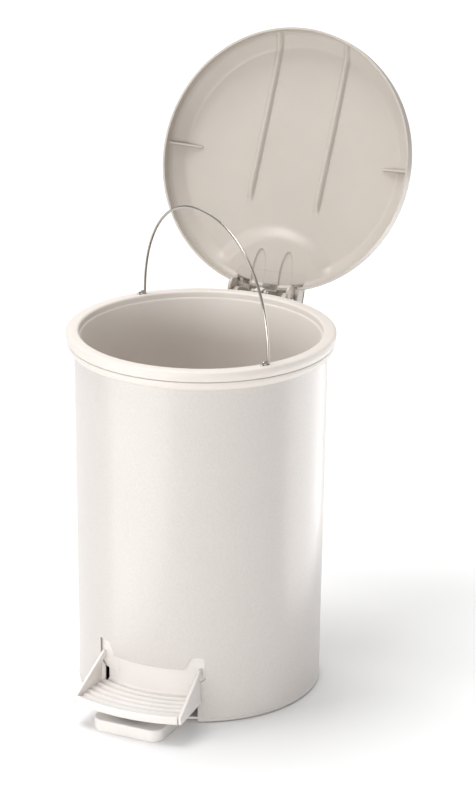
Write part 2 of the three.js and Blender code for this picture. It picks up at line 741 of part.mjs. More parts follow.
// Round-backed stiffening rib under the lid, running front to back a few degrees askew.
function lidRib(x) {
  const panel = lidTop - 2.9;
  const width = 3.6;
  const height = 1.5;
  const shape = shapeOf([
    [-width / 2, 1.4],
    [-width / 2, 0],
    [-width / 4, -height],
    [width / 4, -height],
    [width / 2, 0],
    [width / 2, 1.4],
  ]);
  const length = lidRadius * 1.3;
  const geometry = extruded(shape, length).rotateX(Math.PI / 2).translate(x, 41, panel);
  return solid(geometry.rotateZ(THREE.MathUtils.degToRad(LID_RIB_SKEW)));
}

function lidFin(side) {
  const outer = lidInner + 0.5;
  const shape = shapeOf([
    [outer, lidTop - 12.2],
    [outer, lidTop - 3],
    [outer - 25, lidTop - 2.6],
    [outer - 24, lidTop - 4.1],
  ]);
  const geometry = extruded(shape, 1.2).rotateX(Math.PI / 2).translate(0, 0.6, 0);
  if (side < 0) geometry.applyMatrix4(new THREE.Matrix4().makeScale(-1, 1, 1));
  return solid(geometry);
}

function lidPad() {
  const outline = new THREE.Shape();
  outline.absarc(0, hinge.y - 4, PAD_RADIUS, 0, 2 * Math.PI);
  const disc = slab(outline, neckUnder, lidTop - 1);
  const within = turned([
    [0, lidLip],
    [lidRadius - 0.4, lidLip],
    [lidRadius - 1.9, lidTop - 7],
    [lidRadius - 12.2, lidTop - 2.2],
    [lidRadius * 0.6, lidTop - 0.9],
    [0, lidTop - 0.5],
  ], false);
  return disc.intersect(within);
}

// Leaf-shaped recess in the hinge pad, pointed towards the lid's middle.
function padRecess(x) {
  const tip = hinge.y - 38;
  const root = hinge.y + NECK_REACH + 1;
  const half = 5.4;
  const shape = new THREE.Shape();
  shape.moveTo(x, tip);
  shape.quadraticCurveTo(x + half, tip + 8, x + half, tip + 17);
  shape.lineTo(x + half, root);
  shape.lineTo(x - half, root);
  shape.lineTo(x - half, tip + 17);
  shape.quadraticCurveTo(x - half, tip + 8, x, tip);
  return slab(shape, neckUnder - 2, neckUnder + 1.1);
}

function lidNeck() {
  const half = NECK_HALF_WIDTH;
  const root = lidRadius * 0.93 - 10;
  const end = hinge.y + NECK_REACH;
  const plate = box([-half, half], [root, end], [neckUnder, neckUnder + NECK_WALL]);
  const wallFoot = hinge.z + 3.2;
  const walls = [-1, 1].map((side) => {
    const span = [side * (half - 1.8), side * half].sort((a, b) => a - b);
    return box(span, [RIM_RADIUS - 2.4, end], [wallFoot, neckUnder + 1]);
  });
  return join([plate, ...walls]);
}

function knuckle(side) {
  const span = [side * (knuckleOut - KNUCKLE_WALL), side * knuckleOut].sort((a, b) => a - b);
  const shape = new THREE.Shape();
  const r = KNUCKLE_RADIUS;
  shape.moveTo(hinge.y + 5, neckUnder + 1);
  shape.lineTo(hinge.y - r, neckUnder + 1);
  shape.lineTo(hinge.y - r, hinge.z);
  shape.absarc(hinge.y, hinge.z, r, Math.PI, 2 * Math.PI);
  return sidePlate(shape, span[0], span[1]);
}

const crankClosed = { y: hinge.y - crankNear, z: hinge.z - crankUp };

function crankCheek(side) {
  const span = [side * 4, side * 6.2].sort((a, b) => a - b);
  const shape = new THREE.Shape();
  shape.moveTo(hinge.y + 4.4, neckUnder + 1);
  shape.lineTo(hinge.y - 6.4, neckUnder + 1);
  shape.lineTo(crankClosed.y - CRANK_LOBE, crankClosed.z + 1);
  shape.absarc(crankClosed.y, crankClosed.z, CRANK_LOBE, Math.PI, 1.9 * Math.PI);
  shape.lineTo(hinge.y + 3.6, hinge.z);
  return sidePlate(shape, span[0], span[1]);
}

function lidSolid() {
  const gate = box(
    [-NECK_HALF_WIDTH + 0.9, NECK_HALF_WIDTH - 0.9],
    [lidRadius * 0.9, lidRadius + 3],
    [lidLip - 2, neckUnder],
  );
  const dish = cut(lidDish(), [gate]);
  const rim = turned([
    [0, lidLip - 5],
    [lidRadius - 0.5, lidLip - 5],
    [lidRadius - 0.5, lidTop - 8],
    [lidRadius - 12.5, lidTop - 2.4],
    [0, lidTop - 1],
  ], false);
  const ribs = [-LID_RIB_X, LID_RIB_X].map((x) => lidRib(x).intersect(rim));
  const fins = [-1, 1].map((side) => lidFin(side).intersect(rim));
  const hangers = [-1, 1].flatMap((side) => [knuckle(side), crankCheek(side)]);
  const whole = join([dish, ...ribs, ...fins, lidPad(), lidNeck(), ...hangers]);
  const pinHole = barX(HINGE_PIN_RADIUS + GAP, hinge.y, hinge.z, -40, 40);
  const crankHole = barX(CRANK_PIN_RADIUS + 0.3, crankClosed.y, crankClosed.z, -20, 20, 16);
  return cut(whole, [pinHole, crankHole, padRecess(-11.5), padRecess(11.5)]);
}

function crankPin() {
  const bar = barX(CRANK_PIN_RADIUS, crankClosed.y, crankClosed.z, -7.4, 7.4, 16);
  const head = barX(CRANK_PIN_RADIUS + 0.9, crankClosed.y, crankClosed.z, 6.6, 7.6, 16);
  return bar.add(head);
}

// ---------------------------------------------------------------- bucket and bail
const eyeZ = RIM_TOP - FLANGE_WALL / 2;
const eyeRadius = RIM_RADIUS - BAIL_INSET;
const bailTurn = THREE.MathUtils.degToRad(BAIL_ANGLE);
const bailAxis = new THREE.Vector3(Math.sin(bailTurn), -Math.cos(bailTurn), 0);
const bailRear = new THREE.Vector3(Math.cos(bailTurn), Math.sin(bailTurn), 0);

// Two small holes either side of a bridge in the flange, for one eye of the bail.
function eyeHoles(side) {
  const middle = bailAxis.clone().multiplyScalar(side * eyeRadius);
  return [-1, 1].map((hand) => {
    const geometry = new THREE.BoxGeometry(2 * BAIL_WIRE + 0.8, 2.95, 6);
    geometry.rotateZ(Math.atan2(bailAxis.y, bailAxis.x));
    const place = middle.clone().addScaledVector(bailRear, hand * 2.5);
    return solid(geometry.translate(place.x, place.y, eyeZ));
  });
}

function bucketBody() {
  const floor = BUCKET_FLOOR;
  const wall = BUCKET_WALL;
  const neck = bucketNeckRadius;
  const under = RIM_TOP - FLANGE_WALL;
  const mouth = RIM_RADIUS - 0.8 - FLANGE_WIDTH;
  const rim = turned([
    [0, floor],
    [neck - BUCKET_TAPER, floor],
    [neck, bucketNeckZ],
    [mouth - 0.6, RIM_TOP - 6],
    [mouth + 1.2, under],
    [RIM_RADIUS - 2.6, under],
    [RIM_RADIUS - 1.6, under - 1],
    [RIM_RADIUS - 2.4, flangeFoot],
    [RIM_RADIUS - 1.2, flangeFoot],
    [RIM_RADIUS, RIM_TOP - 4.2],
    [RIM_RADIUS - 0.4, RIM_TOP - 1.1],
    [RIM_RADIUS - 1.8, RIM_TOP],
    [mouth + 0.4, RIM_TOP],
    [mouth - 0.6, RIM_TOP - 0.8],
    [mouth - 2, RIM_TOP - 6],
    [neck - wall, bucketNeckZ],
    [neck - BUCKET_TAPER - wall, floor + wall],
    [0, floor + wall],
  ], false);
  return cut(rim, [...eyeHoles(-1), ...eyeHoles(1)]);
}

// Half hoop of the bail, a little squarer than an ellipse at the shoulders.
class HoopCurve extends THREE.Curve {
  getPoint(t, target = new THREE.Vector3()) {
    const turn = Math.PI * t;
    const power = 2 / BAIL_SHOULDER;
    const along = Math.sign(Math.cos(turn)) * Math.abs(Math.cos(turn)) ** power;
    const up = Math.abs(Math.sin(turn)) ** power;
    return target
      .copy(bailAxis)
      .multiplyScalar(eyeRadius * along)
      .addScaledVector(bailRear, BAIL_EYE)
      .add(new THREE.Vector3(0, 0, eyeZ + BAIL_HEIGHT * up));
  }
}

function bailHandle() {
  const hoop = wire(new HoopCurve(), BAIL_WIRE, 40, 8);
  const eyes = [-1, 1].map((side) => {
    const ring = new THREE.TorusGeometry(BAIL_EYE, BAIL_WIRE, 8, 14);
    ring.rotateY(Math.PI / 2);
    ring.rotateZ(Math.atan2(bailAxis.y, bailAxis.x));
    const place = bailAxis.clone().multiplyScalar(side * eyeRadius);
    return solid(ring.translate(place.x, place.y, eyeZ));
  });
  return join([hoop, ...eyes]);
}

// ---------------------------------------------------------------- assembly
const group = new THREE.Group();

piece('body_shell', bodyShell(), coatedSteel, group);
piece('top_collar', topCollar(), whitePlastic, group);
piece('base_tray', baseTray(), whitePlastic, group);
screwPlaces().forEach((place, i) => {
  piece(`base_screw_${i + 1}`, baseScrew(place), zincSteel, group);
});

piece('pedal', pedalBody(), whitePlastic, group);
pedalScrewPlaces().forEach((place, i) => {
  piece(`pedal_screw_${i + 1}`, pedalScrew(place), zincSteel, group);
});
piece('lever_arm', leverArm(), zincSteel, group);
piece('lever_pivot_pin', leverPivot(), zincSteel, group);
piece('pivot_clip_left', pivotClip(-1), zincSteel, group);
piece('pivot_clip_right', pivotClip(1), zincSteel, group);

piece('lift_rod', liftRod(), brightSteel, group);
piece('rod_washer', rodWasher(), zincSteel, group);
piece('rod_fork', rodFork(), greyPlastic, group);
piece('rod_guide', rodGuide(), greyPlastic, group);
piece('guide_rivet', guideRivet(), zincSteel, group);

piece('hinge_bracket', bracketHousing(), whitePlastic, group);
rivetPlaces().forEach((place, i) => {
  piece(`hinge_rivet_${i + 1}`, hingeRivet(place), zincSteel, group);
});
piece('hinge_pin_left', hingePin(-1), zincSteel, group);
piece('hinge_pin_right', hingePin(1), zincSteel, group);
piece('hinge_washer_left', hingeWasher(-1), zincSteel, group);
piece('hinge_washer_right', hingeWasher(1), zincSteel, group);

// The lid is drawn closed and swung open about the hinge.
const lidSwing = new THREE.Group();
lidSwing.position.set(0, hinge.y, hinge.z);
lidSwing.rotation.x = -openAngle;
group.add(lidSwing);
const lidFrame = new THREE.Group();
lidFrame.position.set(0, -hinge.y, -hinge.z);
lidSwing.add(lidFrame);
piece('lid', lidSolid(), whitePlastic, lidFrame);
piece('crank_pin', crankPin(), zincSteel, lidFrame);

piece('bucket', bucketBody(), greyPlastic, group);
piece('bail_handle', bailHandle(), brightSteel, group);

export default group;
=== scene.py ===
"""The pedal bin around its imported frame: smooth meshes, finishes, studio and camera."""
import json
import math

import bmesh
import bpy
from bpy.props import FloatProperty, FloatVectorProperty, IntProperty, PointerProperty
from mathutils import Matrix, Vector


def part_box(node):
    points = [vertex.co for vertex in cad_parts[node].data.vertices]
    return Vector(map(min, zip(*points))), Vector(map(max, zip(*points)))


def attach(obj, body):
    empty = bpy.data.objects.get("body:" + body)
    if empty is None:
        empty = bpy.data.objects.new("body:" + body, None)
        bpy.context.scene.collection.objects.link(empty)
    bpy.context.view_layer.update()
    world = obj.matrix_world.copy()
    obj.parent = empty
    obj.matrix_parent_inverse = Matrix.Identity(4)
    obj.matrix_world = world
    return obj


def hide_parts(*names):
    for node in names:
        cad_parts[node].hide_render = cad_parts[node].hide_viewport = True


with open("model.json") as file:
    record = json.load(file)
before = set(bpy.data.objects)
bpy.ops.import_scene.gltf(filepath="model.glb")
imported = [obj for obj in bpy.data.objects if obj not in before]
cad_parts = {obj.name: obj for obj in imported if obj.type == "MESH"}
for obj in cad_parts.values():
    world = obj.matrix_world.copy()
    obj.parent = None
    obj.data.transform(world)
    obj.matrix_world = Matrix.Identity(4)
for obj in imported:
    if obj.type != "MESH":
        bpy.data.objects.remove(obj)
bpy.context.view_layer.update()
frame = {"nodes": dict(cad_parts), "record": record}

bl_info = {
    "name": "Pedal Bin",
    "version": (1, 0, 0),
    "blender": (4, 5, 0),
    "location": "View3D > Sidebar > Pedal Bin",
    "description": "Builds the visible pieces of a round pedal bin around its frame",
    "category": "Add Mesh",
}

MM = 0.001


def low(node):
    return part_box(node)[0]


def high(node):
    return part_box(node)[1]


def joint(name):
    """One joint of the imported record, by name."""
    return next(j for j in frame["record"]["behaviour"]["joints"] if j["name"] == name)


HINGE = Vector(joint("lid_hinge")["pos_m"])
OPEN_ANGLE = math.radians(joint("lid_hinge")["range_deg"][1])
BAIL_AXIS = Vector(joint("bail_fold")["axis"]).normalized()
BAIL_PIVOT_Z = joint("bail_fold")["pos_m"][2]


def size(name, text, default):
    return FloatProperty(name=name, description=text, default=default, unit="LENGTH", precision=4)


def shade(name, text, hex_code):
    return FloatVectorProperty(
        name=name,
        description=text,
        subtype="COLOR",
        size=4,
        min=0.0,
        max=1.0,
        default=srgb(hex_code),
    )


def srgb(hex_code):
    """A hex colour as linear red, green, blue and alpha."""
    channels = [int(hex_code[i:i + 2], 16) / 255 for i in (0, 2, 4)]
    linear = [c / 12.92 if c <= 0.04045 else ((c + 0.055) / 1.055) ** 2.4 for c in channels]
    return (*linear, 1.0)


class BinSizes(bpy.types.PropertyGroup):
    """Sizes of the visible pieces, in metres."""

    rim_radius: size("Rim radius", "Widest radius of the bucket's rolled rim", high("bucket")[0])
    rim_top: size("Rim top", "Top of the bucket's rim above the floor", high("bucket")[2])
    rim_width: size("Rim width", "Flat width of the bucket's rim", 8.6 * MM)
    shell_top_radius: size("Shell top radius", "Outside, at the top", high("body_shell")[0])
    shell_taper: size("Shell taper", "How much narrower the shell is at its foot", 1.8 * MM)
    shell_wall: size("Shell wall", "Sheet and coating together", 0.8 * MM)
    lid_radius: size("Lid radius", "Outside radius of the lid's skirt", high("lid")[0])
    lid_wall: size("Lid wall", "Thickness of the lid's moulding", 1.5 * MM)
    pedal_reach: size("Pedal front", "Radius of the pedal's front lip", 131.5 * MM)
    wire_radius: size("Bail wire", "Radius of the bail's wire", 1.0 * MM)
    round_steps: IntProperty(
        name="Round steps", description="Facets in a full turn of the big shells", default=288
    )


class BinColours(bpy.types.PropertyGroup):
    """Colours of the finishes."""

    powder_coat: shade("Powder coat", "Body shell", "D0CAC5")
    # The lid plastic is a warm white, made darker than the pedal and bucket plastic as painted shade for
    # the open lid's shaded underside; the hinge housing shares it.
    lid_plastic_painted_shade: shade("Lid plastic", "Lid, hinge housing and collar", "BEB6AD")
    pedal_plastic: shade("Pedal plastic", "Pedal and base", "E8E3DF")
    bucket_plastic: shade("Bucket plastic", "Inner bucket", "E0D9D2")
    bright_wire: shade("Bright wire", "Bail and lift rod", "B0AAA2")
    zinc: shade("Zinc plate", "Lever, pins and rivets", "A9ABAD")
    floor: shade("Floor", "Studio sweep", "FFFFFF")


def sizes():
    return bpy.context.scene.bin_sizes


def colours():
    return bpy.context.scene.bin_colours


# ---------------------------------------------------------------- node trees
def add(tree, kind, links=(), **settings):
    """Adds one node, sets its properties and sockets by name, and links its inputs."""
    node = tree.nodes.new(kind)
    for key, value in settings.items():
        if hasattr(node, key):
            setattr(node, key, value)
        else:
            node.inputs[key.replace("_", " ")].default_value = value
    for source, output, target in links:
        tree.links.new(source.outputs[output], node.inputs[target])
    return node


def new_tree(name):
    """A new material with an empty node tree."""
    made = bpy.data.materials.new(name)
    made.use_nodes = True
    made.node_tree.nodes.clear()
    return made, made.node_tree


def darker(colour, factor):
    """The same linear colour, scaled and kept in range."""
    return (*(min(1.0, channel * factor) for channel in colour[:3]), 1.0)


def powder_coated_steel():
    """Polyester powder coat on sheet steel."""
    # The eye sees a satin white with orange peel and a faint salt-and-pepper grain.
    made, tree = new_tree("powder_coated_steel")
    colour = colours().powder_coat
    at = [(add(tree, "ShaderNodeTexCoord"), "Object", "Vector")]
    # The grain is 0.4 mm in the real coat; it is drawn at 1.1 mm so that it shows.
    grain = add(tree, "ShaderNodeTexNoise", at, Scale=1 / (1.1 * MM), Detail=3.0)
    peel = add(tree, "ShaderNodeTexNoise", at, Scale=1 / (2.4 * MM), Detail=2.0)
    drift = add(tree, "ShaderNodeTexNoise", at, Scale=1 / (60 * MM), Detail=2.0)
    slow = add(tree, "ShaderNodeMixRGB", [(drift, "Fac", "Fac")],
               Color1=darker(colour, 0.98), Color2=darker(colour, 1.015))
    contrast = add(tree, "ShaderNodeMapRange", [(grain, "Fac", "Value")],
                   From_Min=0.35, From_Max=0.65, To_Min=0.955, To_Max=1.03)
    base = add(tree, "ShaderNodeVectorMath", [(slow, "Color", 0), (contrast, "Result", 1)],
               operation="MULTIPLY")
    rough = add(tree, "ShaderNodeMapRange", [(peel, "Fac", "Value")],
                From_Min=0.3, From_Max=0.7, To_Min=0.3, To_Max=0.37)
    fine = add(tree, "ShaderNodeBump", [(grain, "Fac", "Height")],
               Strength=0.3, Distance=0.05 * MM)
    wavy = add(tree, "ShaderNodeBump", [(peel, "Fac", "Height"), (fine, "Normal", "Normal")],
               Strength=0.3, Distance=0.1 * MM)
    skin = add(tree, "ShaderNodeBsdfPrincipled",
               [(base, "Vector", "Base Color"), (rough, "Result", "Roughness"),
                (wavy, "Normal", "Normal")],
               IOR=1.52, Coat_Weight=0.25, Coat_Roughness=0.22)
    add(tree, "ShaderNodeOutputMaterial", [(skin, "BSDF", "Surface")])
    return made


def moulded_polypropylene(name, colour, gloss_roughness, grain_mm):
    """Injection-moulded polypropylene."""
    # The eye sees a soft waxy white: spark-eroded tool grain, slow drifts in gloss, and light
    # that goes a little way in at thin edges.
    made, tree = new_tree(name)
    at = [(add(tree, "ShaderNodeTexCoord"), "Object", "Vector")]
    grain = add(tree, "ShaderNodeTexNoise", at, Scale=1 / (grain_mm * MM), Detail=2.0)
    drift = add(tree, "ShaderNodeTexNoise", at, Scale=1 / (34 * MM), Detail=3.0)
    base = add(tree, "ShaderNodeMixRGB", [(drift, "Fac", "Fac")],
               Color1=darker(colour, 0.96), Color2=darker(colour, 1.035))
    rough = add(tree, "ShaderNodeMapRange", [(drift, "Fac", "Value")],
                From_Min=0.3, From_Max=0.7, To_Min=gloss_roughness - 0.04,
                To_Max=gloss_roughness + 0.05)
    relief_bump = add(tree, "ShaderNodeBump", [(grain, "Fac", "Height")],
                      Strength=0.25, Distance=0.05 * MM)
    skin = add(tree, "ShaderNodeBsdfPrincipled",
               [(base, "Color", "Base Color"), (rough, "Result", "Roughness"),
                (relief_bump, "Normal", "Normal")],
               IOR=1.49, Subsurface_Weight=0.05, Subsurface_Scale=0.5 * MM)
    add(tree, "ShaderNodeOutputMaterial", [(skin, "BSDF", "Surface")])
    return made


def bare_metal(name, colour, marks, output, mottle, tones, roughness, depth):
    """A metal whose tone and gloss follow one texture and whose surface follows another."""
    made, tree = new_tree(name)
    at = [(add(tree, "ShaderNodeTexCoord"), "Object", "Vector")]
    kind, settings = marks
    surface = add(tree, kind, at, **settings)
    patches = add(tree, "ShaderNodeTexNoise", at, **mottle)
    base = add(tree, "ShaderNodeMixRGB", [(patches, "Fac", "Fac")],
               Color1=darker(colour, tones[0]), Color2=darker(colour, tones[1]))
    rough = add(tree, "ShaderNodeMapRange", [(patches, "Fac", "Value")],
                From_Min=0.3, From_Max=0.7, To_Min=roughness[0], To_Max=roughness[1])
    bump = add(tree, "ShaderNodeBump", [(surface, output, "Height")],
               Strength=depth, Distance=0.02 * MM)
    skinned = add(tree, "ShaderNodeBsdfPrincipled",
                  [(base, "Color", "Base Color"), (rough, "Result", "Roughness"),
                   (bump, "Normal", "Normal")],
                  Metallic=1.0)
    add(tree, "ShaderNodeOutputMaterial", [(skinned, "BSDF", "Surface")])
    return made


def drawn_steel_wire():
    """Bright drawn steel wire."""
    # The eye sees sharp highlights along it, die lines, and slight dulling where it is handled.
    lines = ("ShaderNodeTexNoise", {"Scale": 1 / (0.5 * MM), "Detail": 4.0})
    handled = {"Scale": 1 / (12 * MM), "Detail": 3.0}
    return bare_metal("drawn_steel_wire", colours().bright_wire, lines, "Fac", handled,
                      (0.85, 1.1), (0.16, 0.28), 0.3)


def zinc_plated_steel():
    """Zinc-plated steel with a clear passivate."""
    # The eye sees a soft grey metal with a fine mottle of plated crystals.
    crystals = ("ShaderNodeTexVoronoi", {"Scale": 1 / (1.6 * MM)})
    mottle = {"Scale": 1 / (3 * MM), "Detail": 4.0}
    return bare_metal("zinc_plated_steel", colours().zinc, crystals, "Distance", mottle,
                      (0.8, 1.15), (0.3, 0.45), 0.2)


def studio_paper():
    """Matt seamless paper."""
    # The eye sees a plain white with a barely visible tooth.
    made, tree = new_tree("studio_paper")
    colour = colours().floor
    at = [(add(tree, "ShaderNodeTexCoord"), "Object", "Vector")]
    tooth = add(tree, "ShaderNodeTexNoise", at, Scale=1 / (2 * MM), Detail=2.0)
    base = add(tree, "ShaderNodeMixRGB", [(tooth, "Fac", "Fac")],
               Color1=darker(colour, 0.955), Color2=darker(colour, 0.965))
    skin = add(tree, "ShaderNodeBsdfPrincipled", [(base, "Color", "Base Color")],
               Roughness=0.95, Specular_IOR_Level=0.0)
    add(tree, "ShaderNodeOutputMaterial", [(skin, "BSDF", "Surface")])
    return made


MAKERS = {
    "powder_coated_steel": powder_coated_steel,
    # The lid's moulding: a warm white whose darker tone is painted shade.
    "lid_polypropylene_painted_shade": lambda: moulded_polypropylene(
        "lid_polypropylene_painted_shade", colours().lid_plastic_painted_shade, 0.36, 0.8),
    "pedal_polypropylene": lambda: moulded_polypropylene(
        "pedal_polypropylene", colours().pedal_plastic, 0.36, 0.7),
    "bucket_polypropylene": lambda: moulded_polypropylene(
        "bucket_polypropylene", colours().bucket_plastic, 0.42, 0.7),
    "drawn_steel_wire": drawn_steel_wire,
    "zinc_plated_steel": zinc_plated_steel,
    "studio_paper": studio_paper,
}


def material(name):
    return bpy.data.materials.get(name) or MAKERS[name]()


# ---------------------------------------------------------------- mesh tools
def filleted(points, radius, steps=5, closed=False):
    """The outline with each corner turned into an arc of about radius."""
    result = []
    count = len(points)
    for i, point in enumerate(points):
        here = Vector(point)
        if not closed and i in (0, count - 1):
            result.append(here)
            continue
        before, after = Vector(points[i - 1]), Vector(points[(i + 1) % count])
        reach = min(radius, (before - here).length * 0.45, (after - here).length * 0.45)
        start = here + (before - here).normalized() * reach
        end = here + (after - here).normalized() * reach
        for step in range(steps + 1):
            t = step / steps
            result.append(start * (1 - t) ** 2 + here * 2 * t * (1 - t) + end * t ** 2)
    return result


def object_from(mesh_data, name):
    """Turns a bmesh into a linked object, its faces pointing outwards."""
    bmesh.ops.recalc_face_normals(mesh_data, faces=mesh_data.faces)
    mesh = bpy.data.meshes.new(name)
    mesh_data.to_mesh(mesh)
    mesh_data.free()
    piece = bpy.data.objects.new(name, mesh)
    bpy.context.scene.collection.objects.link(piece)
    return piece


def skin(work, lower, upper):
    """Faces between two closed rings; corners that coincide are counted once."""
    for k in range(len(lower)):
        n = (k + 1) % len(lower)
        corners = list(dict.fromkeys([lower[k], lower[n], upper[n], upper[k]]))
        if len(corners) > 2:
            work.faces.new(corners)


def turned(name, profile, steps, closed=False):
    """A profile of (radius, height) points spun about the vertical axis."""
    work = bmesh.new()
    rings = []
    for radius, height in profile:
        if radius < 1e-7:
            rings.append([work.verts.new((0, 0, height))] * steps)
            continue
        ring = []
        for k in range(steps):
            turn = 2 * math.pi * k / steps
            ring.append(work.verts.new((radius * math.sin(turn), -radius * math.cos(turn), height)))
        rings.append(ring)
    for lower, upper in zip(rings, rings[1:] + rings[:1] if closed else rings[1:]):
        skin(work, lower, upper)
    return object_from(work, name)


def extruded(name, outline, depth, axes=None, bevel=0.0, bevel_steps=3):
    """A flat outline raised by depth, its edges rounded, then put in place by axes."""
    work = bmesh.new()
    base = [work.verts.new((x, y, 0)) for x, y in outline]
    face = work.faces.new(base)
    top = bmesh.ops.extrude_face_region(work, geom=[face])
    moved = [v for v in top["geom"] if isinstance(v, bmesh.types.BMVert)]
    bmesh.ops.translate(work, verts=moved, vec=(0, 0, depth))
    bmesh.ops.recalc_face_normals(work, faces=work.faces)
    if bevel:
        rims = [e for e in work.edges if len(e.link_faces) == 2 and e.calc_face_angle() > 0.6]
        bmesh.ops.bevel(work, geom=rims, offset=bevel, segments=bevel_steps, affect="EDGES",
                        profile=0.5, clamp_overlap=True)
    if axes is not None:
        bmesh.ops.transform(work, matrix=axes, verts=work.verts)
    return object_from(work, name)


def side_axes(x):
    """Puts an outline of (y, z) points upright, facing +X, starting at x."""
    return Matrix(((0, 0, 1, x), (1, 0, 0, 0), (0, 1, 0, 0), (0, 0, 0, 1)))


def front_axes(y):
    """Puts an outline of (x, z) points upright, its depth running back from y."""
    return Matrix(((1, 0, 0, 0), (0, 0, 1, y), (0, 1, 0, 0), (0, 0, 0, 1)))


def swept(name, path, radius, sides=14):
    """A round bar along a list of points, with closed ends."""
    work = bmesh.new()
    points = [Vector(p) for p in path]
    tangents = []
    for i in range(len(points)):
        ahead = points[min(i + 1, len(points) - 1)]
        behind = points[max(i - 1, 0)]
        tangents.append((ahead - behind).normalized())
    normal = tangents[0].orthogonal().normalized()
    rings = []
    for point, tangent in zip(points, tangents):
        normal = (normal - tangent * normal.dot(tangent)).normalized()
        side = tangent.cross(normal)
        ring = []
        for k in range(sides):
            turn = 2 * math.pi * k / sides
            out = normal * math.cos(turn) + side * math.sin(turn)
            ring.append(work.verts.new(point + out * radius))
        rings.append(ring)
    for lower, upper in zip(rings, rings[1:]):
        skin(work, lower, upper)
    work.faces.new(rings[0])
    work.faces.new(rings[-1])
    return object_from(work, name)


def slab(name, xs, ys, sides):
    """A closed slab on a grid; each of its two sides turns (x, y) into a point."""
    work = bmesh.new()
    lower, upper = [[[work.verts.new(side(x, y)) for y in ys] for x in xs] for side in sides]
    for sheet in (lower, upper):
        for a, b in zip(sheet, sheet[1:]):
            for k in range(len(ys) - 1):
                work.faces.new([a[k], b[k], b[k + 1], a[k + 1]])
    for end in (0, -1):
        a, b = lower[end], upper[end]
        for k in range(len(ys) - 1):
            work.faces.new([a[k], a[k + 1], b[k + 1], b[k]])
    for k in (0, -1):
        for i in range(len(xs) - 1):
            work.faces.new([lower[i][k], lower[i + 1][k], upper[i + 1][k], upper[i][k]])
    return object_from(work, name)


def apply_modifiers(piece):
    graph = bpy.context.evaluated_depsgraph_get()
    mesh = bpy.data.meshes.new_from_object(piece.evaluated_get(graph))
    piece.modifiers.clear()
    old = piece.data
    piece.data = mesh
    bpy.data.meshes.remove(old)
    return piece


def carve(piece, tool, operation="DIFFERENCE"):
    """Cuts the tool out of the piece, or keeps what they share, and throws the tool away."""
    modifier = piece.modifiers.new("carve", "BOOLEAN")
    modifier.operation = operation
    modifier.solver = "EXACT"
    modifier.object = tool
    apply_modifiers(piece)
    bpy.data.objects.remove(tool)
    return piece


def bored(piece, centre, radius, x):
    """Drills a round hole along X through a piece that starts at x."""
    hole = arc(centre, radius, 0, 345, 23)
    return carve(piece, extruded("hole", hole, 0.02, side_axes(x - 0.005)))


def wedge(radius, half, depth, foot):
    """A cutting tool: the front sector out to radius, half to each side, standing on foot."""
    rim = [(radius * math.sin(a), -radius * math.cos(a))
           for a in (-half, -half / 2, 0, half / 2, half)]
    return extruded("wedge", [(0, 0), *rim], depth, Matrix.Translation((0, 0, foot)))


def merged(name, parts):
    """One object from several that lie in the same frame."""
    work = bmesh.new()
    for part in parts:
        work.from_mesh(part.data)
        bpy.data.objects.remove(part)
    return object_from(work, name)


def smooth(piece, angle=35.0):
    """Smooth shading, with edges sharper than angle left crisp."""
    work = bmesh.new()
    work.from_mesh(piece.data)
    bmesh.ops.remove_doubles(work, verts=work.verts, dist=1e-6)
    bmesh.ops.dissolve_degenerate(work, edges=work.edges, dist=1e-7)
    limit = math.radians(angle)
    for face in work.faces:
        face.smooth = True
    for edge in work.edges:
        edge.smooth = len(edge.link_faces) == 2 and edge.calc_face_angle(0.0) < limit
    work.to_mesh(piece.data)
    work.free()
    return piece


def place(piece, body, nodes, finish, angle=35.0):
    """Shades a piece, gives it its finish, and ties it to its body and the nodes it stands for."""
    smooth(piece, angle)
    piece.data.materials.clear()
    piece.data.materials.append(material(finish))
    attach(piece, body)
    if nodes:
        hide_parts(*nodes)
    return piece


def arc(centre, radius, start, end, steps):
    """Points of an arc in degrees, measured from +X."""
    points = []
    for k in range(steps + 1):
        turn = math.radians(start + (end - start) * k / steps)
        points.append((centre[0] + radius * math.cos(turn), centre[1] + radius * math.sin(turn)))
    return points


def smoothstep(value, start, end):
    t = min(1.0, max(0.0, (value - start) / (end - start)))
    return t * t * (3 - 2 * t)


# ---------------------------------------------------------------- shell
SHELL_FOOT = low("body_shell")[2]
SHELL_TOP = high("body_shell")[2]
CUTOUT_TOP = 42.5 * MM
CUTOUT_HALF = math.radians(24.5)
NOTCH_TOP = 52.5 * MM
NOTCH_SILL = 34 * MM
NOTCH_INNER = math.radians(18.0)
NOTCH_CORNER = math.radians(21.5)
NOTCH_OUTER = math.radians(28.0)


def shell_radius(z):
    s = sizes()
    share = (z - SHELL_FOOT) / (SHELL_TOP - SHELL_FOOT)
    return s.shell_top_radius - s.shell_taper * (1 - share)


def cutout_outline():
    """Half-angle and height points of the pedal opening with its two ear notches."""
    right = [
        (CUTOUT_HALF, SHELL_FOOT - 0.01),
        (CUTOUT_HALF, NOTCH_SILL - 3 * MM),
        (NOTCH_OUTER, NOTCH_SILL + 1 * MM),
        (NOTCH_OUTER, NOTCH_TOP),
        (NOTCH_CORNER, NOTCH_TOP),
        (NOTCH_INNER, CUTOUT_TOP),
    ]
    left = [(-angle, z) for angle, z in reversed(right)]
    return right + left


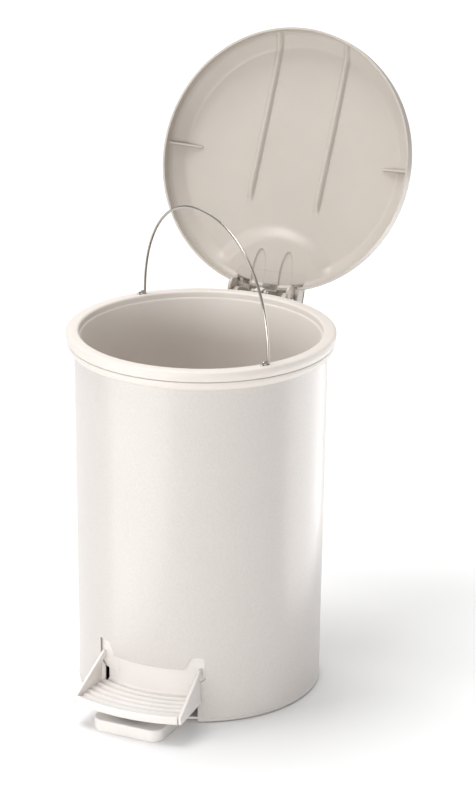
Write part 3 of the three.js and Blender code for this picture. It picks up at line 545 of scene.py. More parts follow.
class BIN_OT_shell(bpy.types.Operator):
    """Rolls the coated steel shell with its stamped pedal opening and rod window."""

    bl_idname = "bin.shell"
    bl_label = "Body shell"

    def execute(self, context):
        s = sizes()
        steps = s.round_steps
        angles = [-math.pi + 2 * math.pi * k / steps for k in range(steps + 1)]
        heights = [SHELL_FOOT + (SHELL_TOP - SHELL_FOOT) * k / 24 for k in range(25)]
        # Before it is rolled, x is the angle, y the depth into the wall and z the height.
        sheet = slab("shell_sheet", angles, heights, (
            lambda a, z: (a, 0.0, z), lambda a, z: (a, s.shell_wall, z)))
        opening = filleted(cutout_outline(), 0.9 * MM, 3, closed=True)
        carve(sheet, extruded("opening_tool", opening, 0.03, front_axes(-0.01)))
        work = bmesh.new()
        work.from_mesh(sheet.data)
        seam = [f for f in work.faces
                if abs(abs(f.calc_center_median().x) - math.pi) < 1e-5]
        bmesh.ops.delete(work, geom=seam, context="FACES")
        for vert in work.verts:
            angle, depth, z = vert.co
            radius = shell_radius(z) - depth
            vert.co = (radius * math.sin(angle), -radius * math.cos(angle), z)
        bmesh.ops.remove_doubles(work, verts=work.verts, dist=2e-6)
        bpy.data.objects.remove(sheet)
        shell = object_from(work, "body_shell_rolled")
        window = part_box("hinge_bracket")[0][2] + 24.6 * MM
        cutter = extruded("window_tool", [(-3.5 * MM, window - 19 * MM), (3.5 * MM, window - 19 * MM),
                                          (3.5 * MM, window), (-3.5 * MM, window)],
                          0.08, front_axes(0.06))
        carve(shell, cutter)
        foot = shell_radius(SHELL_FOOT)
        hem = turned("shell_hem", filleted([
            (foot - 6.5 * MM, SHELL_FOOT),
            (foot + 0.25 * MM, SHELL_FOOT),
            (foot + 0.25 * MM, SHELL_FOOT + 2.2 * MM),
            (foot - 0.4 * MM, SHELL_FOOT + 2.8 * MM),
            (foot - 0.9 * MM, SHELL_FOOT + 1.2 * MM),
            (foot - 6.5 * MM, SHELL_FOOT + 0.8 * MM),
        ], 0.5 * MM, 4, closed=True), steps, closed=True)
        carve(hem, wedge(0.13, CUTOUT_HALF, 0.02, -0.005))
        piece = merged("body_shell_coated", [shell, hem])
        place(piece, "bin_body", ["body_shell"], "powder_coated_steel", 40)
        return {"FINISHED"}


class BIN_OT_collar(bpy.types.Operator):
    """Turns the narrow moulded ring between the shell and the bucket's rim."""

    bl_idname = "bin.collar"
    bl_label = "Top collar"

    def execute(self, context):
        s = sizes()
        top = high("top_collar")[2]
        foot = top - 6.4 * MM
        outer = high("top_collar")[0]
        out, inn = s.shell_top_radius + 0.5 * MM, s.shell_top_radius - 1.3 * MM
        inner = s.rim_radius - 9 * MM
        profile = [(out, foot), (out + 1.9 * MM, foot), (outer - 1.0 * MM, foot + 1.9 * MM),
                   (outer, foot + 4.0 * MM), (outer, top), (inner, top),
                   (inner, top - 10.7 * MM), (inn, top - 10.7 * MM),
                   (inn, SHELL_TOP + 0.4 * MM), (out, SHELL_TOP + 0.4 * MM)]
        outline = filleted(profile, 0.7 * MM, 4, closed=True)
        piece = turned("top_collar_moulded", outline, s.round_steps, closed=True)
        place(piece, "bin_body", ["top_collar"], "bucket_polypropylene")
        return {"FINISHED"}


# ---------------------------------------------------------------- bucket and bail
EYE_REACH = 5.5 * MM
EYE_RADIUS = 2.6 * MM
BAIL_HEIGHT = high("bail_handle")[2] - BAIL_PIVOT_Z - 1.0 * MM
BAIL_SHOULDER = 2.2


def bucket_profile():
    """Outside of the floor, up the wall, round the rolled rim and down the inside."""
    s = sizes()
    top, rim = s.rim_top, s.rim_radius
    floor = low("bucket")[2]
    neck = rim - 13 * MM
    mouth = rim - 9 * MM
    outside = [(0, floor), (neck - 13.8 * MM, floor), (neck, top - 17 * MM),
               (mouth - 0.6 * MM, top - 6 * MM), (mouth + 1.2 * MM, top - 1.6 * MM),
               (rim - 2.6 * MM, top - 1.6 * MM), (rim - 1.6 * MM, top - 2.8 * MM),
               (rim - 2.4 * MM, top - 8 * MM), (rim - 1.2 * MM, top - 8 * MM),
               (rim, top - 4.3 * MM), (rim - 0.2 * MM, top - 0.9 * MM), (rim - 1.9 * MM, top)]
    inside = [(mouth + 0.6 * MM, top), (mouth - 0.7 * MM, top - 0.9 * MM),
              (mouth - 1.2 * MM, top - 4.6 * MM)]
    foot, foot_z = neck - 15.1 * MM, floor + 1.3 * MM
    lean = 13.5 * MM / (top - 6 * MM - foot_z)
    for k in range(15):
        z = top - 5.4 * MM - k * 2.6 * MM
        flare = 3.5 * MM * (1 - k / 14) ** 2
        inside.append((foot + (z - foot_z) * lean + flare, z))
    return outside + inside + [(foot, foot_z), (0, foot_z)]


class BIN_OT_bucket(bpy.types.Operator):
    """Turns the lift-out bucket with its rolled rim, ledge and bail holes."""

    bl_idname = "bin.bucket"
    bl_label = "Bucket"

    def execute(self, context):
        s = sizes()
        outline = filleted(bucket_profile(), 0.8 * MM, 4)
        piece = turned("bucket_moulded", outline, s.round_steps)
        rear = Vector((-BAIL_AXIS.y, BAIL_AXIS.x, 0))
        for side in (-1, 1):
            for hand in (-1, 1):
                middle = BAIL_AXIS * side * (s.rim_radius - EYE_REACH) + rear * hand * 2.5 * MM
                hole = arc((0, 0), 1.45 * MM, 0, 345, 23)
                tool = extruded("eye_tool", hole, 6 * MM, Matrix.Translation(
                    (middle.x, middle.y, s.rim_top - 4 * MM)))
                carve(piece, tool)
        place(piece, "bucket", ["bucket"], "bucket_polypropylene")
        return {"FINISHED"}


class BIN_OT_bail(bpy.types.Operator):
    """Bends the bright wire bail with an eye at each end."""

    bl_idname = "bin.bail"
    bl_label = "Bail handle"

    def execute(self, context):
        s = sizes()
        reach = s.rim_radius - EYE_REACH
        rear = Vector((-BAIL_AXIS.y, BAIL_AXIS.x, 0))
        up = Vector((0, 0, 1))
        power = 2 / BAIL_SHOULDER
        path = []
        steps = 220
        for k in range(steps + 1):
            turn = math.pi * (0.5 - 0.5 * math.cos(math.pi * k / steps))
            along = math.copysign(abs(math.cos(turn)) ** power, math.cos(turn))
            rise = abs(math.sin(turn)) ** power
            path.append(BAIL_AXIS * reach * along + rear * EYE_RADIUS
                        + up * (BAIL_PIVOT_Z + BAIL_HEIGHT * rise))
        hoop = swept("hoop", path, s.wire_radius, 16)
        eyes = []
        for side in (-1, 1):
            middle = BAIL_AXIS * side * reach + up * BAIL_PIVOT_Z
            ring = []
            for k in range(33):
                turn = math.radians(330) * k / 32
                ring.append(middle + (rear * math.cos(turn) - up * math.sin(turn)) * EYE_RADIUS)
            eyes.append(swept("eye", ring, s.wire_radius, 16))
        piece = merged("bail_wire", [hoop, *eyes])
        place(piece, "bail", ["bail_handle"], "drawn_steel_wire", 60)
        return {"FINISHED"}


# ---------------------------------------------------------------- lid
LID_CROWN = 14.4 * MM
LIP_DROP = 5.2 * MM
RIB_X = 28.4 * MM
NECK_HALF = 28.6 * MM
NECK_RISE = 14.2 * MM
PAD_RADIUS = 55 * MM
PLATE_START = 86.8 * MM
RIB_SKEW = math.radians(3.5)
LEAF_X = 11.5 * MM
LEAF_DEPTH = 1.3 * MM
DISH_STEPS = 720


def lid_heights():
    s = sizes()
    return s.rim_top + LID_CROWN, s.rim_top - LIP_DROP, HINGE.z + NECK_RISE


def leaf_share(x, y):
    """1 inside the two leaf-shaped recesses of the hinge pad, 0 outside, soft at the edge."""
    tip = HINGE.y - 38 * MM
    best = 0.0
    for side in (-1, 1):
        along = min(1.0, max(0.0, (y - tip) / (17 * MM)))
        half = 5.4 * MM * math.sqrt(1 - (1 - along) ** 1.6) if along > 0 else 0.0
        offset = abs(x - side * LEAF_X)
        inside = smoothstep(half - offset, -0.3 * MM, 0.9 * MM) if half > 0 else 0.0
        best = max(best, inside)
    return best


def lid_under(x, y, plain):
    """Height of the lid's underside, where plain is the bare dish at that point."""
    _, _, pad_z = lid_heights()
    z = plain
    along = y * math.cos(RIB_SKEW) - x * math.sin(RIB_SKEW)
    over = x * math.cos(RIB_SKEW) + y * math.sin(RIB_SKEW)
    taper = smoothstep(41 * MM - along, 0, 14 * MM)
    for side in (-1, 1):
        across = abs(over - side * RIB_X) / (2.7 * MM)
        if across < 1:
            z -= 2.7 * MM * math.cos(across * math.pi / 2) ** 0.6 * taper
    reach = math.hypot(x, y - (HINGE.y - 4 * MM))
    pad = smoothstep(PAD_RADIUS - reach, -0.5 * MM, 14 * MM)
    if pad > 0 and z > pad_z:
        z += (pad_z - z) * pad
    z += LEAF_DEPTH * leaf_share(x, y) * pad
    if abs(x) < NECK_HALF - 0.4 * MM:
        z += 0.6 * MM * smoothstep(y, PLATE_START, PLATE_START + 0.8 * MM)
    return z


def dish_profile():
    """Under and over sides of the lid as (radius, height), each from the middle outwards."""
    s = sizes()
    top, lip, _ = lid_heights()
    outer, inner = s.lid_radius, s.lid_radius - s.lid_wall
    under = filleted((
        (0, top - 1.8 * MM), (outer * 0.6, top - 2.2 * MM), (outer - 13 * MM, top - 3.4 * MM),
        (inner - 1.6 * MM, top - 9.4 * MM), (inner, top - 12 * MM), (inner, lip)), 1.6 * MM, 6)
    over = filleted((
        (0, top), (outer * 0.6, top - 0.4 * MM), (outer - 12 * MM, top - 1.8 * MM),
        (outer - 1.6 * MM, top - 6.6 * MM), (outer, top - 10 * MM), (outer, lip)), 4 * MM, 8)
    return resampled(under, 0.8 * MM), resampled(over, 2.5 * MM)


def resampled(points, step):
    """The same outline with points no further than step apart."""
    result = [points[0]]
    for a, b in zip(points, points[1:]):
        count = max(1, math.ceil((b - a).length / step))
        result.extend(a.lerp(b, k / count) for k in range(1, count + 1))
    return result


def lid_dish():
    """The round dish with its underside relief, as one closed skin."""
    steps = DISH_STEPS
    under, over = dish_profile()
    _, lip, _ = lid_heights()
    work = bmesh.new()

    def ring(radius, height, relief_on):
        if radius < 1e-7:
            return [work.verts.new((0, 0, height))] * steps
        verts = []
        for k in range(steps):
            turn = 2 * math.pi * k / steps
            x, y = radius * math.sin(turn), -radius * math.cos(turn)
            z = lid_under(x, y, height) if relief_on and height > lip + 4 * MM else height
            verts.append(work.verts.new((x, y, z)))
        return verts

    rings = [ring(p.x, p.y, True) for p in under]
    rings += [ring(p.x, p.y, False) for p in reversed(over)]
    for lower, upper in zip(rings, rings[1:]):
        skin(work, lower, upper)
    return object_from(work, "dish")


def lid_neck():
    """Neck plate with the leaf recesses running out of it, and its two side walls."""
    _, _, pad_z = lid_heights()
    end = HINGE.y + 5.5 * MM
    xs = [-NECK_HALF + 2 * NECK_HALF * k / 160 for k in range(161)]
    ys = [PLATE_START + (end - PLATE_START) * k / 40 for k in range(41)]
    parts = [slab("neck_plate", xs, ys, (
        lambda x, y: (x, y, pad_z + LEAF_DEPTH * leaf_share(x, y)),
        lambda x, y: (x, y, pad_z + 2.2 * MM)))]
    for x in (-NECK_HALF, NECK_HALF - 1.8 * MM):
        foot = HINGE.z + 3.2 * MM
        wall = [(sizes().rim_radius - 2.4 * MM, foot), (end, foot), (end, pad_z + 1.6 * MM),
                (sizes().rim_radius - 2.4 * MM, pad_z + 1.6 * MM)]
        outline = filleted(wall, 2.5 * MM, 5, closed=True)
        parts.append(extruded("neck_wall", outline, 1.8 * MM, side_axes(x), 0.3 * MM))
    return parts


def lid_hangers():
    """Knuckles on the hinge pins and the two cheeks that carry the crank pin."""
    _, _, pad_z = lid_heights()
    angle = OPEN_ANGLE / 2
    crank = 5.6 * MM
    pin = (HINGE.y - crank * math.cos(angle), HINGE.z - crank * math.sin(angle))
    knuckle = [(HINGE.y + 5 * MM, pad_z + 1 * MM), (HINGE.y - 6 * MM, pad_z + 1 * MM)]
    knuckle += arc((HINGE.y, HINGE.z), 6 * MM, 180, 360, 24)
    cheek = [(HINGE.y + 4.4 * MM, pad_z + 1 * MM), (HINGE.y - 6.4 * MM, pad_z + 1 * MM)]
    cheek += arc(pin, 2.6 * MM, 175, 340, 20)
    cheek += [(HINGE.y + 3.6 * MM, HINGE.z)]
    parts = []
    for x0, x1 in ((-22.5, -18.5), (18.5, 22.5)):
        part = extruded("knuckle", knuckle, (x1 - x0) * MM, side_axes(x0 * MM), 0.35 * MM)
        parts.append(bored(part, (HINGE.y, HINGE.z), 1.95 * MM, x0 * MM))
    for x0, x1 in ((-6.2, -4.0), (4.0, 6.2)):
        part = extruded("cheek", cheek, (x1 - x0) * MM, side_axes(x0 * MM), 0.3 * MM)
        parts.append(bored(part, pin, 1.5 * MM, x0 * MM))
    return parts


def lid_fins():
    """Two short fins between the skirt and the panel, on the lid's cross axis."""
    s = sizes()
    top, _, _ = lid_heights()
    outer = s.lid_radius - s.lid_wall + 0.5 * MM
    parts = []
    for side in (-1, 1):
        shape = [(outer, top - 14.5 * MM), (outer, top - 9.5 * MM), (outer - 13 * MM, top - 3.2 * MM),
                 (outer - 25 * MM, top - 2.6 * MM), (outer - 25 * MM, top - 4.2 * MM),
                 (outer - 12 * MM, top - 8.2 * MM)]
        outline = [(x * side, z) for x, z in shape]
        parts.append(extruded("fin", outline, 1.8 * MM, front_axes(-3.4 * MM), 0.4 * MM))
    return parts


class BIN_OT_lid(bpy.types.Operator):
    """Moulds the lid closed, with ribs, fins, hinge pad and neck, and swings it open."""

    bl_idname = "bin.lid"
    bl_label = "Lid"

    def execute(self, context):
        _, lip, pad_z = lid_heights()
        dish = lid_dish()
        half = NECK_HALF - 0.9 * MM
        gate = extruded("gate", [(-half, 92 * MM), (half, 92 * MM), (half, 106 * MM), (-half, 106 * MM)],
                        pad_z - lip + 0.002, Matrix.Translation((0, 0, lip - 0.002)))
        carve(dish, gate)
        piece = merged("lid_moulded", [dish, *lid_neck(), *lid_hangers(), *lid_fins()])
        swing = (Matrix.Translation(HINGE) @ Matrix.Rotation(-OPEN_ANGLE, 4, "X")
                 @ Matrix.Translation(-HINGE))
        piece.data.transform(swing)
        # The lid's finish carries painted shade in its darker tone.
        place(piece, "lid", ["lid"], "lid_polypropylene_painted_shade", 32)
        return {"FINISHED"}


# ---------------------------------------------------------------- pedal and base
PASSAGE_ANGLE = math.radians(23.2)
CHEEK_ANGLE = math.radians(26.2)
TREAD_TOP = 20 * MM
PEDAL_TOP = 44 * MM
PEDAL_RIBS = 5
PEDAL_PITCH = 6.6 * MM
LEVER_TOP = 16.05 * MM


def pedal_back():
    return shell_radius(SHELL_FOOT) - sizes().shell_wall - 0.9 * MM


def tread_profile():
    """Section of the pedal along its middle: back wall, ribbed tread and rolled lip."""
    back, front = pedal_back(), sizes().pedal_reach
    under = TREAD_TOP - 2.5 * MM
    lower = [(back - 2.5 * MM, under), (front - 4.5 * MM, under), (front - 3.6 * MM, under - 1 * MM),
             (front - 0.8 * MM, under - 1 * MM), (front, under + 0.6 * MM),
             (front, TREAD_TOP + 2 * MM), (front - 1.2 * MM, TREAD_TOP + 3.2 * MM),
             (front - 2.8 * MM, TREAD_TOP + 2.4 * MM)]
    points = filleted(lower, 0.9 * MM, 5)
    first = back + 4.2 * MM
    for i in range(PEDAL_RIBS - 1, -1, -1):
        centre = first + i * PEDAL_PITCH
        for k in range(13):
            t = 1 - k / 6
            rise = 1.4 * MM * math.cos(t * math.pi / 2) ** 1.3 if abs(t) < 1 else 0.0
            points.append(Vector((centre + t * 2.6 * MM, TREAD_TOP + rise)))
    wall = [(back + 1.2 * MM, TREAD_TOP), (back - 0.6 * MM, TREAD_TOP + 1.6 * MM), (back, PEDAL_TOP),
            (back - 1.9 * MM, PEDAL_TOP), (back - 2.5 * MM, under)]
    points += filleted(wall, 1.4 * MM, 5)[:-1]
    return points


def sector(name, profile, start, end, steps):
    """A closed profile swept from one angle to another about the vertical axis, ends capped."""
    work = bmesh.new()
    rows = []
    for k in range(steps + 1):
        turn = start + (end - start) * k / steps
        rows.append([work.verts.new((p.x * math.sin(turn), -p.x * math.cos(turn), p.y))
                     for p in profile])
    for a, b in zip(rows, rows[1:]):
        skin(work, a, b)
    work.faces.new(rows[0])
    work.faces.new(rows[-1])
    return object_from(work, name)


def pedal_plan():
    """Plan of the tread: narrow where it passes through the shell, full width in front."""
    clear = shell_radius(SHELL_FOOT) + 2.3 * MM
    back = pedal_back() - 4 * MM
    half = shell_radius(SHELL_FOOT) * math.sin(CHEEK_ANGLE) + 0.4 * MM
    front = -(sizes().pedal_reach + 5 * MM)
    steps = 8
    inner = [(back * math.sin(PASSAGE_ANGLE * k / steps), -back * math.cos(PASSAGE_ANGLE * k / steps))
             for k in range(-steps, steps + 1)]
    wide = math.asin(half / clear)
    side = [(clear * math.sin(a), -clear * math.cos(a)) for a in (PASSAGE_ANGLE, wide)]
    mirrored = [(-x, y) for x, y in reversed(side)]
    return inner + side + [(half, front), (-half, front)] + mirrored


def pedal_cheek(side):
    """A side cheek that leans out, with a lug that reaches back through the notch."""
    foot_radius = shell_radius(SHELL_FOOT)
    start = (pedal_back() - 1.2 * MM) * math.cos(CHEEK_ANGLE)
    clear = (foot_radius + 2 * MM) * math.cos(CHEEK_ANGLE) + 2 * MM - start
    length = (sizes().pedal_reach - 1.0 * MM) * math.cos(CHEEK_ANGLE * 0.7) - start
    under = -2.5 * MM
    lug_top = PEDAL_TOP - TREAD_TOP - 0.6 * MM
    lug_foot = NOTCH_SILL - TREAD_TOP + 2.5 * MM
    outline = filleted((
        (0, lug_foot), (clear, lug_foot), (clear, under), (length, under - 0.8 * MM),
        (length, 2.4 * MM), (length - 3 * MM, 3.6 * MM), (4 * MM, lug_top), (0, lug_top),
    ), 0.9 * MM, 4, closed=True)
    cheek = extruded("cheek", outline, 2.2 * MM, Matrix.Translation((0, 0, -1.1 * MM)), 0.5 * MM, 3)
    run = math.radians(2.5)
    axes = Matrix((
        (-math.sin(run), 0, -math.cos(run), -foot_radius * math.sin(CHEEK_ANGLE)),
        (-math.cos(run), 0, math.sin(run), -start),
        (0, 1, 0, TREAD_TOP),
        (0, 0, 0, 1),
    ))
    cheek.data.transform(axes @ Matrix.Rotation(-math.radians(3), 4, "X"))
    if side > 0:
        cheek.data.transform(Matrix.Scale(-1, 4, (1, 0, 0)))
    return cheek


def pedal_ear(side):
    """Ear of the back wall, seen through the notch beside the opening."""
    back = pedal_back()
    foot, top = TREAD_TOP + 10 * MM, NOTCH_TOP - 0.5 * MM
    profile = filleted((
        (back - 1.9 * MM, foot), (back, foot), (back, top), (back - 1.9 * MM, top)),
        0.6 * MM, 3, closed=True)
    inner, outer = NOTCH_INNER - math.radians(2), NOTCH_OUTER + math.radians(1.5)
    start, end = (inner, outer) if side > 0 else (-outer, -inner)
    return sector("ear", profile, start, end, 16)


class BIN_OT_pedal(bpy.types.Operator):
    """Moulds the ribbed pedal with its back wall, ears, cheeks and rolled lip."""

    bl_idname = "bin.pedal"
    bl_label = "Pedal"

    def execute(self, context):
        half = math.radians(29)
        tread = sector("tread", tread_profile(), -half, half, 96)
        plan = extruded("plan", pedal_plan(), 0.08, Matrix.Translation((0, 0, -0.01)))
        parts = [carve(tread, plan, "INTERSECT")]
        parts += [shape(side) for side in (-1, 1) for shape in (pedal_cheek, pedal_ear)]
        for node in ("pedal_screw_1", "pedal_screw_2"):
            y = (low(node)[1] + high(node)[1]) / 2
            foot = LEVER_TOP
            boss = turned("boss", [(1.5 * MM, foot), (3.4 * MM, foot), (3.6 * MM, TREAD_TOP - 1 * MM),
                                   (1.5 * MM, TREAD_TOP - 1 * MM)], 40, closed=True)
            boss.data.transform(Matrix.Translation((0, y, 0)))
            parts.append(boss)
        piece = merged("pedal_moulded", parts)
        place(piece, "pedal_lever", ["pedal"], "pedal_polypropylene", 38)
        return {"FINISHED"}


def tongue():
    """The foot that sticks out under the pedal, with rounded corners and edges."""
    front, half, corner = low("base_tray")[1], 28 * MM, 9 * MM
    outline = [(-half, -75 * MM), *arc((-half + corner, front + corner), corner, 180, 270, 12),
               *arc((half - corner, front + corner), corner, 270, 360, 12), (half, -75 * MM)]
    return extruded("tongue", outline, 9.5 * MM, None, 1.1 * MM, 4)


class BIN_OT_base(bpy.types.Operator):
    """Moulds the base tray with its foot ring, uprights for the lever and front tongue."""

    bl_idname = "bin.base"
    bl_label = "Base tray"

    def execute(self, context):
        s = sizes()
        ring, under = 85 * MM, 2.15 * MM
        top = under + 2 * MM
        outer = shell_radius(SHELL_FOOT) - s.shell_wall - 0.6 * MM
        profile = [(0, 0), (12 * MM, 0), (12 * MM, under), (ring - 8 * MM, under), (ring - 8 * MM, 0),
                   (ring, 0), (ring, under), (outer, under), (outer, 14 * MM),
                   (outer - 1.6 * MM, 14 * MM), (outer - 1.6 * MM, top), (0, top)]
        dish = turned("dish", filleted(profile, 0.7 * MM, 3), s.round_steps)
        carve(dish, wedge(0.1, math.radians(30), 0.03, top))
        room = extruded("room", [(-12 * MM, -93 * MM), (12 * MM, -93 * MM), (12 * MM, -65 * MM),
                                 (-12 * MM, -65 * MM)], 0.03, Matrix.Translation((0, 0, 7.2 * MM)))
        foot = carve(tongue(), room)
        pivot = Vector(joint("pedal_pivot")["pos_m"])
        parts = [dish, foot]
        for x in (-13.5 * MM, 10 * MM):
            shape = [(pivot.y - 14 * MM, top - 1 * MM), (pivot.y + 14 * MM, top - 1 * MM),
                     (pivot.y + 5 * MM, pivot.z + 6 * MM), (pivot.y - 5 * MM, pivot.z + 6 * MM)]
            outline = filleted(shape, 2.5 * MM, 5, closed=True)
            upright = extruded("upright", outline, 3.5 * MM, side_axes(x), 0.4 * MM)
            parts.append(bored(upright, (pivot.y, pivot.z), 2.85 * MM, x))
        piece = merged("base_moulded", parts)
        place(piece, "bin_body", ["base_tray"], "pedal_polypropylene", 38)
        return {"FINISHED"}


# ---------------------------------------------------------------- hinge, rod and fasteners
SHARP = 0.6
ZINC = ("zinc_plated_steel", "zinc_steel", 35)
GREY = ("bucket_polypropylene", "grey_plastic", 35)
# node: body it rides on, then finish, material slot and smoothing angle in degrees
MECHANISM = {
    # The hinge housing takes the lid's plastic, painted shade included.
    "hinge_bracket": ("bin_body", "lid_polypropylene_painted_shade", "white_plastic", 35),
    "rod_guide": ("bin_body", *GREY),
    "lever_pivot_pin": ("bin_body", *ZINC),
    "pivot_clip_left": ("bin_body", *ZINC),
    "pivot_clip_right": ("bin_body", *ZINC),
    "hinge_washer_left": ("bin_body", *ZINC),
    "hinge_washer_right": ("bin_body", *ZINC),
    "rod_fork": ("lift_rod", *GREY),
    "rod_washer": ("lift_rod", *ZINC),
    "lift_rod": ("lift_rod", "drawn_steel_wire", "bright_steel", 50),
    "lever_arm": ("pedal_lever", *ZINC),
    "crank_pin": ("lid", *ZINC),
}


def softened(name, source, width):
    """A copy of a made part with its sharp edges rounded over."""
    shape = bmesh.new()
    shape.from_mesh(source.data)
    bmesh.ops.transform(shape, matrix=source.matrix_world, verts=shape.verts)
    bmesh.ops.remove_doubles(shape, verts=shape.verts, dist=0.001 * MM)
    # A wider limit would flatten the bends of the rod, which then meets its guide.
    bmesh.ops.dissolve_limit(shape, angle_limit=math.radians(0.05),
                             verts=shape.verts, edges=shape.edges)
    sharp = [e for e in shape.edges if len(e.link_faces) == 2 and e.calc_face_angle(0) > SHARP]
    bmesh.ops.bevel(shape, geom=sharp, offset=width, segments=2, profile=0.5,
                    affect="EDGES", clamp_overlap=True)
    mesh = bpy.data.meshes.new(name)
    shape.to_mesh(mesh)
    shape.free()
    piece = bpy.data.objects.new(name, mesh)
    bpy.context.scene.collection.objects.link(piece)
    return piece


class BIN_OT_mechanism(bpy.types.Operator):
    """Gives the hinge housing, lever, rod and pins their finishes and soft edges."""

    bl_idname = "bin.mechanism"
    bl_label = "Mechanism"

    def execute(self, context):
        for name, (body, finish, slot_name, angle) in MECHANISM.items():
            piece = softened(name + "_soft", frame["nodes"][name], 0.2 * MM)
            place(piece, body, [name], finish, angle)
        return {"FINISHED"}


def headed(name, base, along, radius, rise, shank, shank_radius):
    """A domed fastener head at base, facing along, with its shank behind it."""
    profile = [(0, rise), (radius * 0.45, rise * 0.93), (radius * 0.8, rise * 0.66),
               (radius * 0.97, rise * 0.28), (radius, 0), (shank_radius, 0),
               (shank_radius, -shank), (0, -shank)]
    outline = filleted(profile, radius * 0.12, 3)
    piece = turned(name, outline, 48)
    turn = Vector((0, 0, 1)).rotation_difference(Vector(along)).to_matrix().to_4x4()
    piece.data.transform(Matrix.Translation(base) @ turn)
    return piece


class BIN_OT_fasteners(bpy.types.Operator):
    """Turns the rivets, screws and hinge pins with domed heads."""

    bl_idname = "bin.fasteners"
    bl_label = "Fasteners"

    def execute(self, context):
        for name in frame["nodes"]:
            corner, far = Vector(low(name)), Vector(high(name))
            middle = (corner + far) / 2
            if name.startswith("hinge_rivet") or name == "guide_rivet":
                radius, rise, along = (far.x - corner.x) / 2, 1.1 * MM, (0, 1, 0)
                base = Vector((middle.x, far.y - rise, middle.z))
                shank, shank_radius = far.y - corner.y - rise, radius * 0.5
            elif name.startswith(("base_screw", "pedal_screw")):
                radius, rise, along = (far.x - corner.x) / 2, 0.7 * MM, (0, 0, -1)
                base = Vector((middle.x, middle.y, corner.z + rise))
                shank, shank_radius = far.z - corner.z - rise, 1.15 * MM
            elif name.startswith("hinge_pin"):
                side = 1 if middle.x > 0 else -1
                radius, rise, along = (far.z - corner.z) / 2, 1.4 * MM, (side, 0, 0)
                reach = max(abs(corner.x), abs(far.x))
                base = Vector((side * (reach - rise), middle.y, middle.z))
                shank, shank_radius = far.x - corner.x - rise, 1.6 * MM
            else:
                continue
            piece = headed(name + "_domed", base, along, radius, rise, shank, shank_radius)
            body = "pedal_lever" if name.startswith("pedal_screw") else "bin_body"
            place(piece, body, [name], "zinc_plated_steel")
        return {"FINISHED"}


# ---------------------------------------------------------------- studio
CAMERA_AZIMUTH = math.radians(24.42)
CAMERA_ELEVATION = math.radians(19.76)
CAMERA_ROLL = math.radians(0.56)
CAMERA_DISTANCE = 2.146
CAMERA_LENS = 125.3
AIM_RIGHT = 0.0297
AIM_UP = 0.2076
FLOOR_REACH = 6.0
CARD_HEIGHT = 0.34
CARD_MIDDLE = Vector((0, 0, 0.16))


def camera_axes():
    """Right, up and backward directions of the camera, with its roll."""
    a, e = CAMERA_AZIMUTH, CAMERA_ELEVATION
    right = Vector((math.cos(a), math.sin(a), 0))
    up = Vector((-math.sin(a) * math.sin(e), math.cos(a) * math.sin(e), math.cos(e)))
    back = Vector((math.sin(a) * math.cos(e), -math.cos(a) * math.cos(e), math.sin(e)))
    c, s = math.cos(CAMERA_ROLL), math.sin(CAMERA_ROLL)
    return right * c + up * s, up * c - right * s, back


def area_light(name, place_at, aim, width, height, watts):
    light = bpy.data.lights.new(name, "AREA")
    light.shape = "RECTANGLE"
    light.size, light.size_y = width, height
    light.energy = watts
    lamp = bpy.data.objects.new(name, light)
    lamp.location = place_at
    direction = Vector(aim) - Vector(place_at)
    lamp.rotation_euler = direction.to_track_quat("-Z", "Y").to_euler()
    lamp.visible_camera = False
    bpy.context.scene.collection.objects.link(lamp)
    return lamp


def gloss_card(name, across, near, width, watts):
    """A bright card beside the bin that only glossy surfaces pick up, across the view's axis."""
    right, _, back = camera_axes()
    right = Vector((right.x, right.y, 0)).normalized()
    front = Vector((back.x, back.y, 0)).normalized()
    spot = right * across + front * near + CARD_MIDDLE
    aim = right * -across * 0.01 + front * near + CARD_MIDDLE
    area_light(name, spot, aim, width, CARD_HEIGHT, watts).visible_diffuse = False


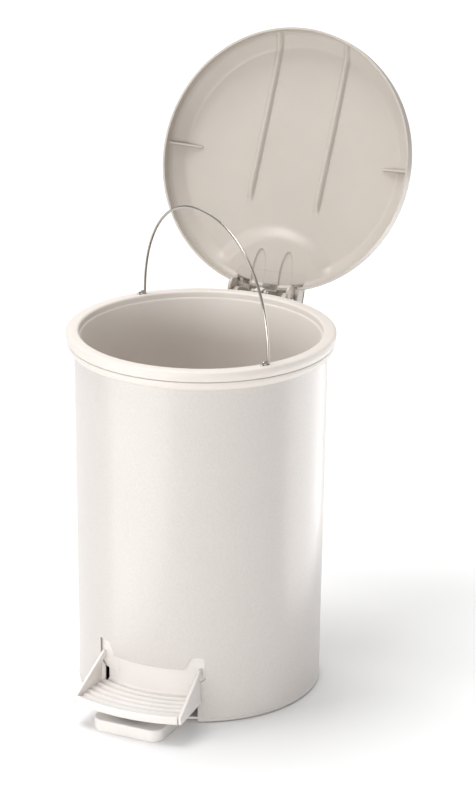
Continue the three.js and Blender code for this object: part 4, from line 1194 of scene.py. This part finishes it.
class BIN_OT_studio(bpy.types.Operator):
    """Sets the camera, the seamless paper sweep and the soft lights."""

    bl_idname = "bin.studio"
    bl_label = "Studio"

    def execute(self, context):
        scene = context.scene
        right, up, back = camera_axes()
        camera = bpy.data.objects.new("camera", bpy.data.cameras.new("camera"))
        camera.data.lens = CAMERA_LENS
        camera.data.sensor_width = 36
        camera.data.clip_end = 50
        eye = right * AIM_RIGHT + up * AIM_UP + back * CAMERA_DISTANCE
        camera.matrix_world = Matrix((
            (right.x, up.x, back.x, eye.x),
            (right.y, up.y, back.y, eye.y),
            (right.z, up.z, back.z, eye.z),
            (0, 0, 0, 1),
        ))
        scene.collection.objects.link(camera)
        scene.camera = camera
        scene.view_settings.view_transform = "Standard"

        marks = [-FLOOR_REACH + FLOOR_REACH * k / 10 for k in range(21)]
        floor = slab("studio_floor", marks, marks, (
            lambda x, y: (x, y, -0.004), lambda x, y: (x, y, 0.0)))
        smooth(floor)
        floor.data.materials.append(material("studio_paper"))

        world = bpy.data.worlds.new("studio_air")
        scene.world = world
        world.use_nodes = True
        background = world.node_tree.nodes["Background"]
        background.inputs["Color"].default_value = (1, 1, 1, 1)
        background.inputs["Strength"].default_value = 0.44

        area_light("overhead", (-0.55, 0.0, 2.2), (0, 0, 0.1), 1.1, 1.1, 27)
        area_light("key_left", (-1.5, -1.3, 1.3), (0, 0, 0.25), 0.9, 0.9, 8)
        area_light("front", (0.2, -2.6, 0.45), (0, 0, 0.1), 2.2, 0.8, 30)
        area_light("far_floor", (-0.6, 3.2, 2.4), (-0.6, 3.2, 0), 5.0, 3.0, 80)
        gloss_card("left_card", -0.17, 0.22, 0.30, 0.5)
        gloss_card("right_card", 0.25, -0.10, 0.36, 0.8)
        return {"FINISHED"}


class BIN_PT_panel(bpy.types.Panel):
    """Sidebar panel that lists the bin's pieces, sizes and colours."""

    bl_idname = "BIN_PT_panel"
    bl_label = "Pedal Bin"
    bl_space_type = "VIEW_3D"
    bl_region_type = "UI"
    bl_category = "Pedal Bin"

    def draw(self, context):
        column = self.layout.column()
        for operator in OPERATORS:
            column.operator(operator.bl_idname)
        for group in (context.scene.bin_sizes, context.scene.bin_colours):
            for name in group.__annotations__:
                column.prop(group, name)


OPERATORS = (
    BIN_OT_studio,
    BIN_OT_shell,
    BIN_OT_collar,
    BIN_OT_bucket,
    BIN_OT_bail,
    BIN_OT_lid,
    BIN_OT_pedal,
    BIN_OT_base,
    BIN_OT_mechanism,
    BIN_OT_fasteners,
)
CLASSES = (BinSizes, BinColours, *OPERATORS, BIN_PT_panel)


def register():
    for item in CLASSES:
        bpy.utils.register_class(item)
    bpy.types.Scene.bin_sizes = PointerProperty(type=BinSizes)
    bpy.types.Scene.bin_colours = PointerProperty(type=BinColours)


def unregister():
    del bpy.types.Scene.bin_colours
    del bpy.types.Scene.bin_sizes
    for item in reversed(CLASSES):
        bpy.utils.unregister_class(item)


def main():
    register()
    bpy.ops.bin.studio()
    bpy.ops.bin.shell()
    bpy.ops.bin.collar()
    bpy.ops.bin.bucket()
    bpy.ops.bin.bail()
    bpy.ops.bin.lid()
    bpy.ops.bin.pedal()
    bpy.ops.bin.base()
    bpy.ops.bin.mechanism()
    bpy.ops.bin.fasteners()
    bpy.context.view_layer.update()


if __name__ == "__main__":
    main()
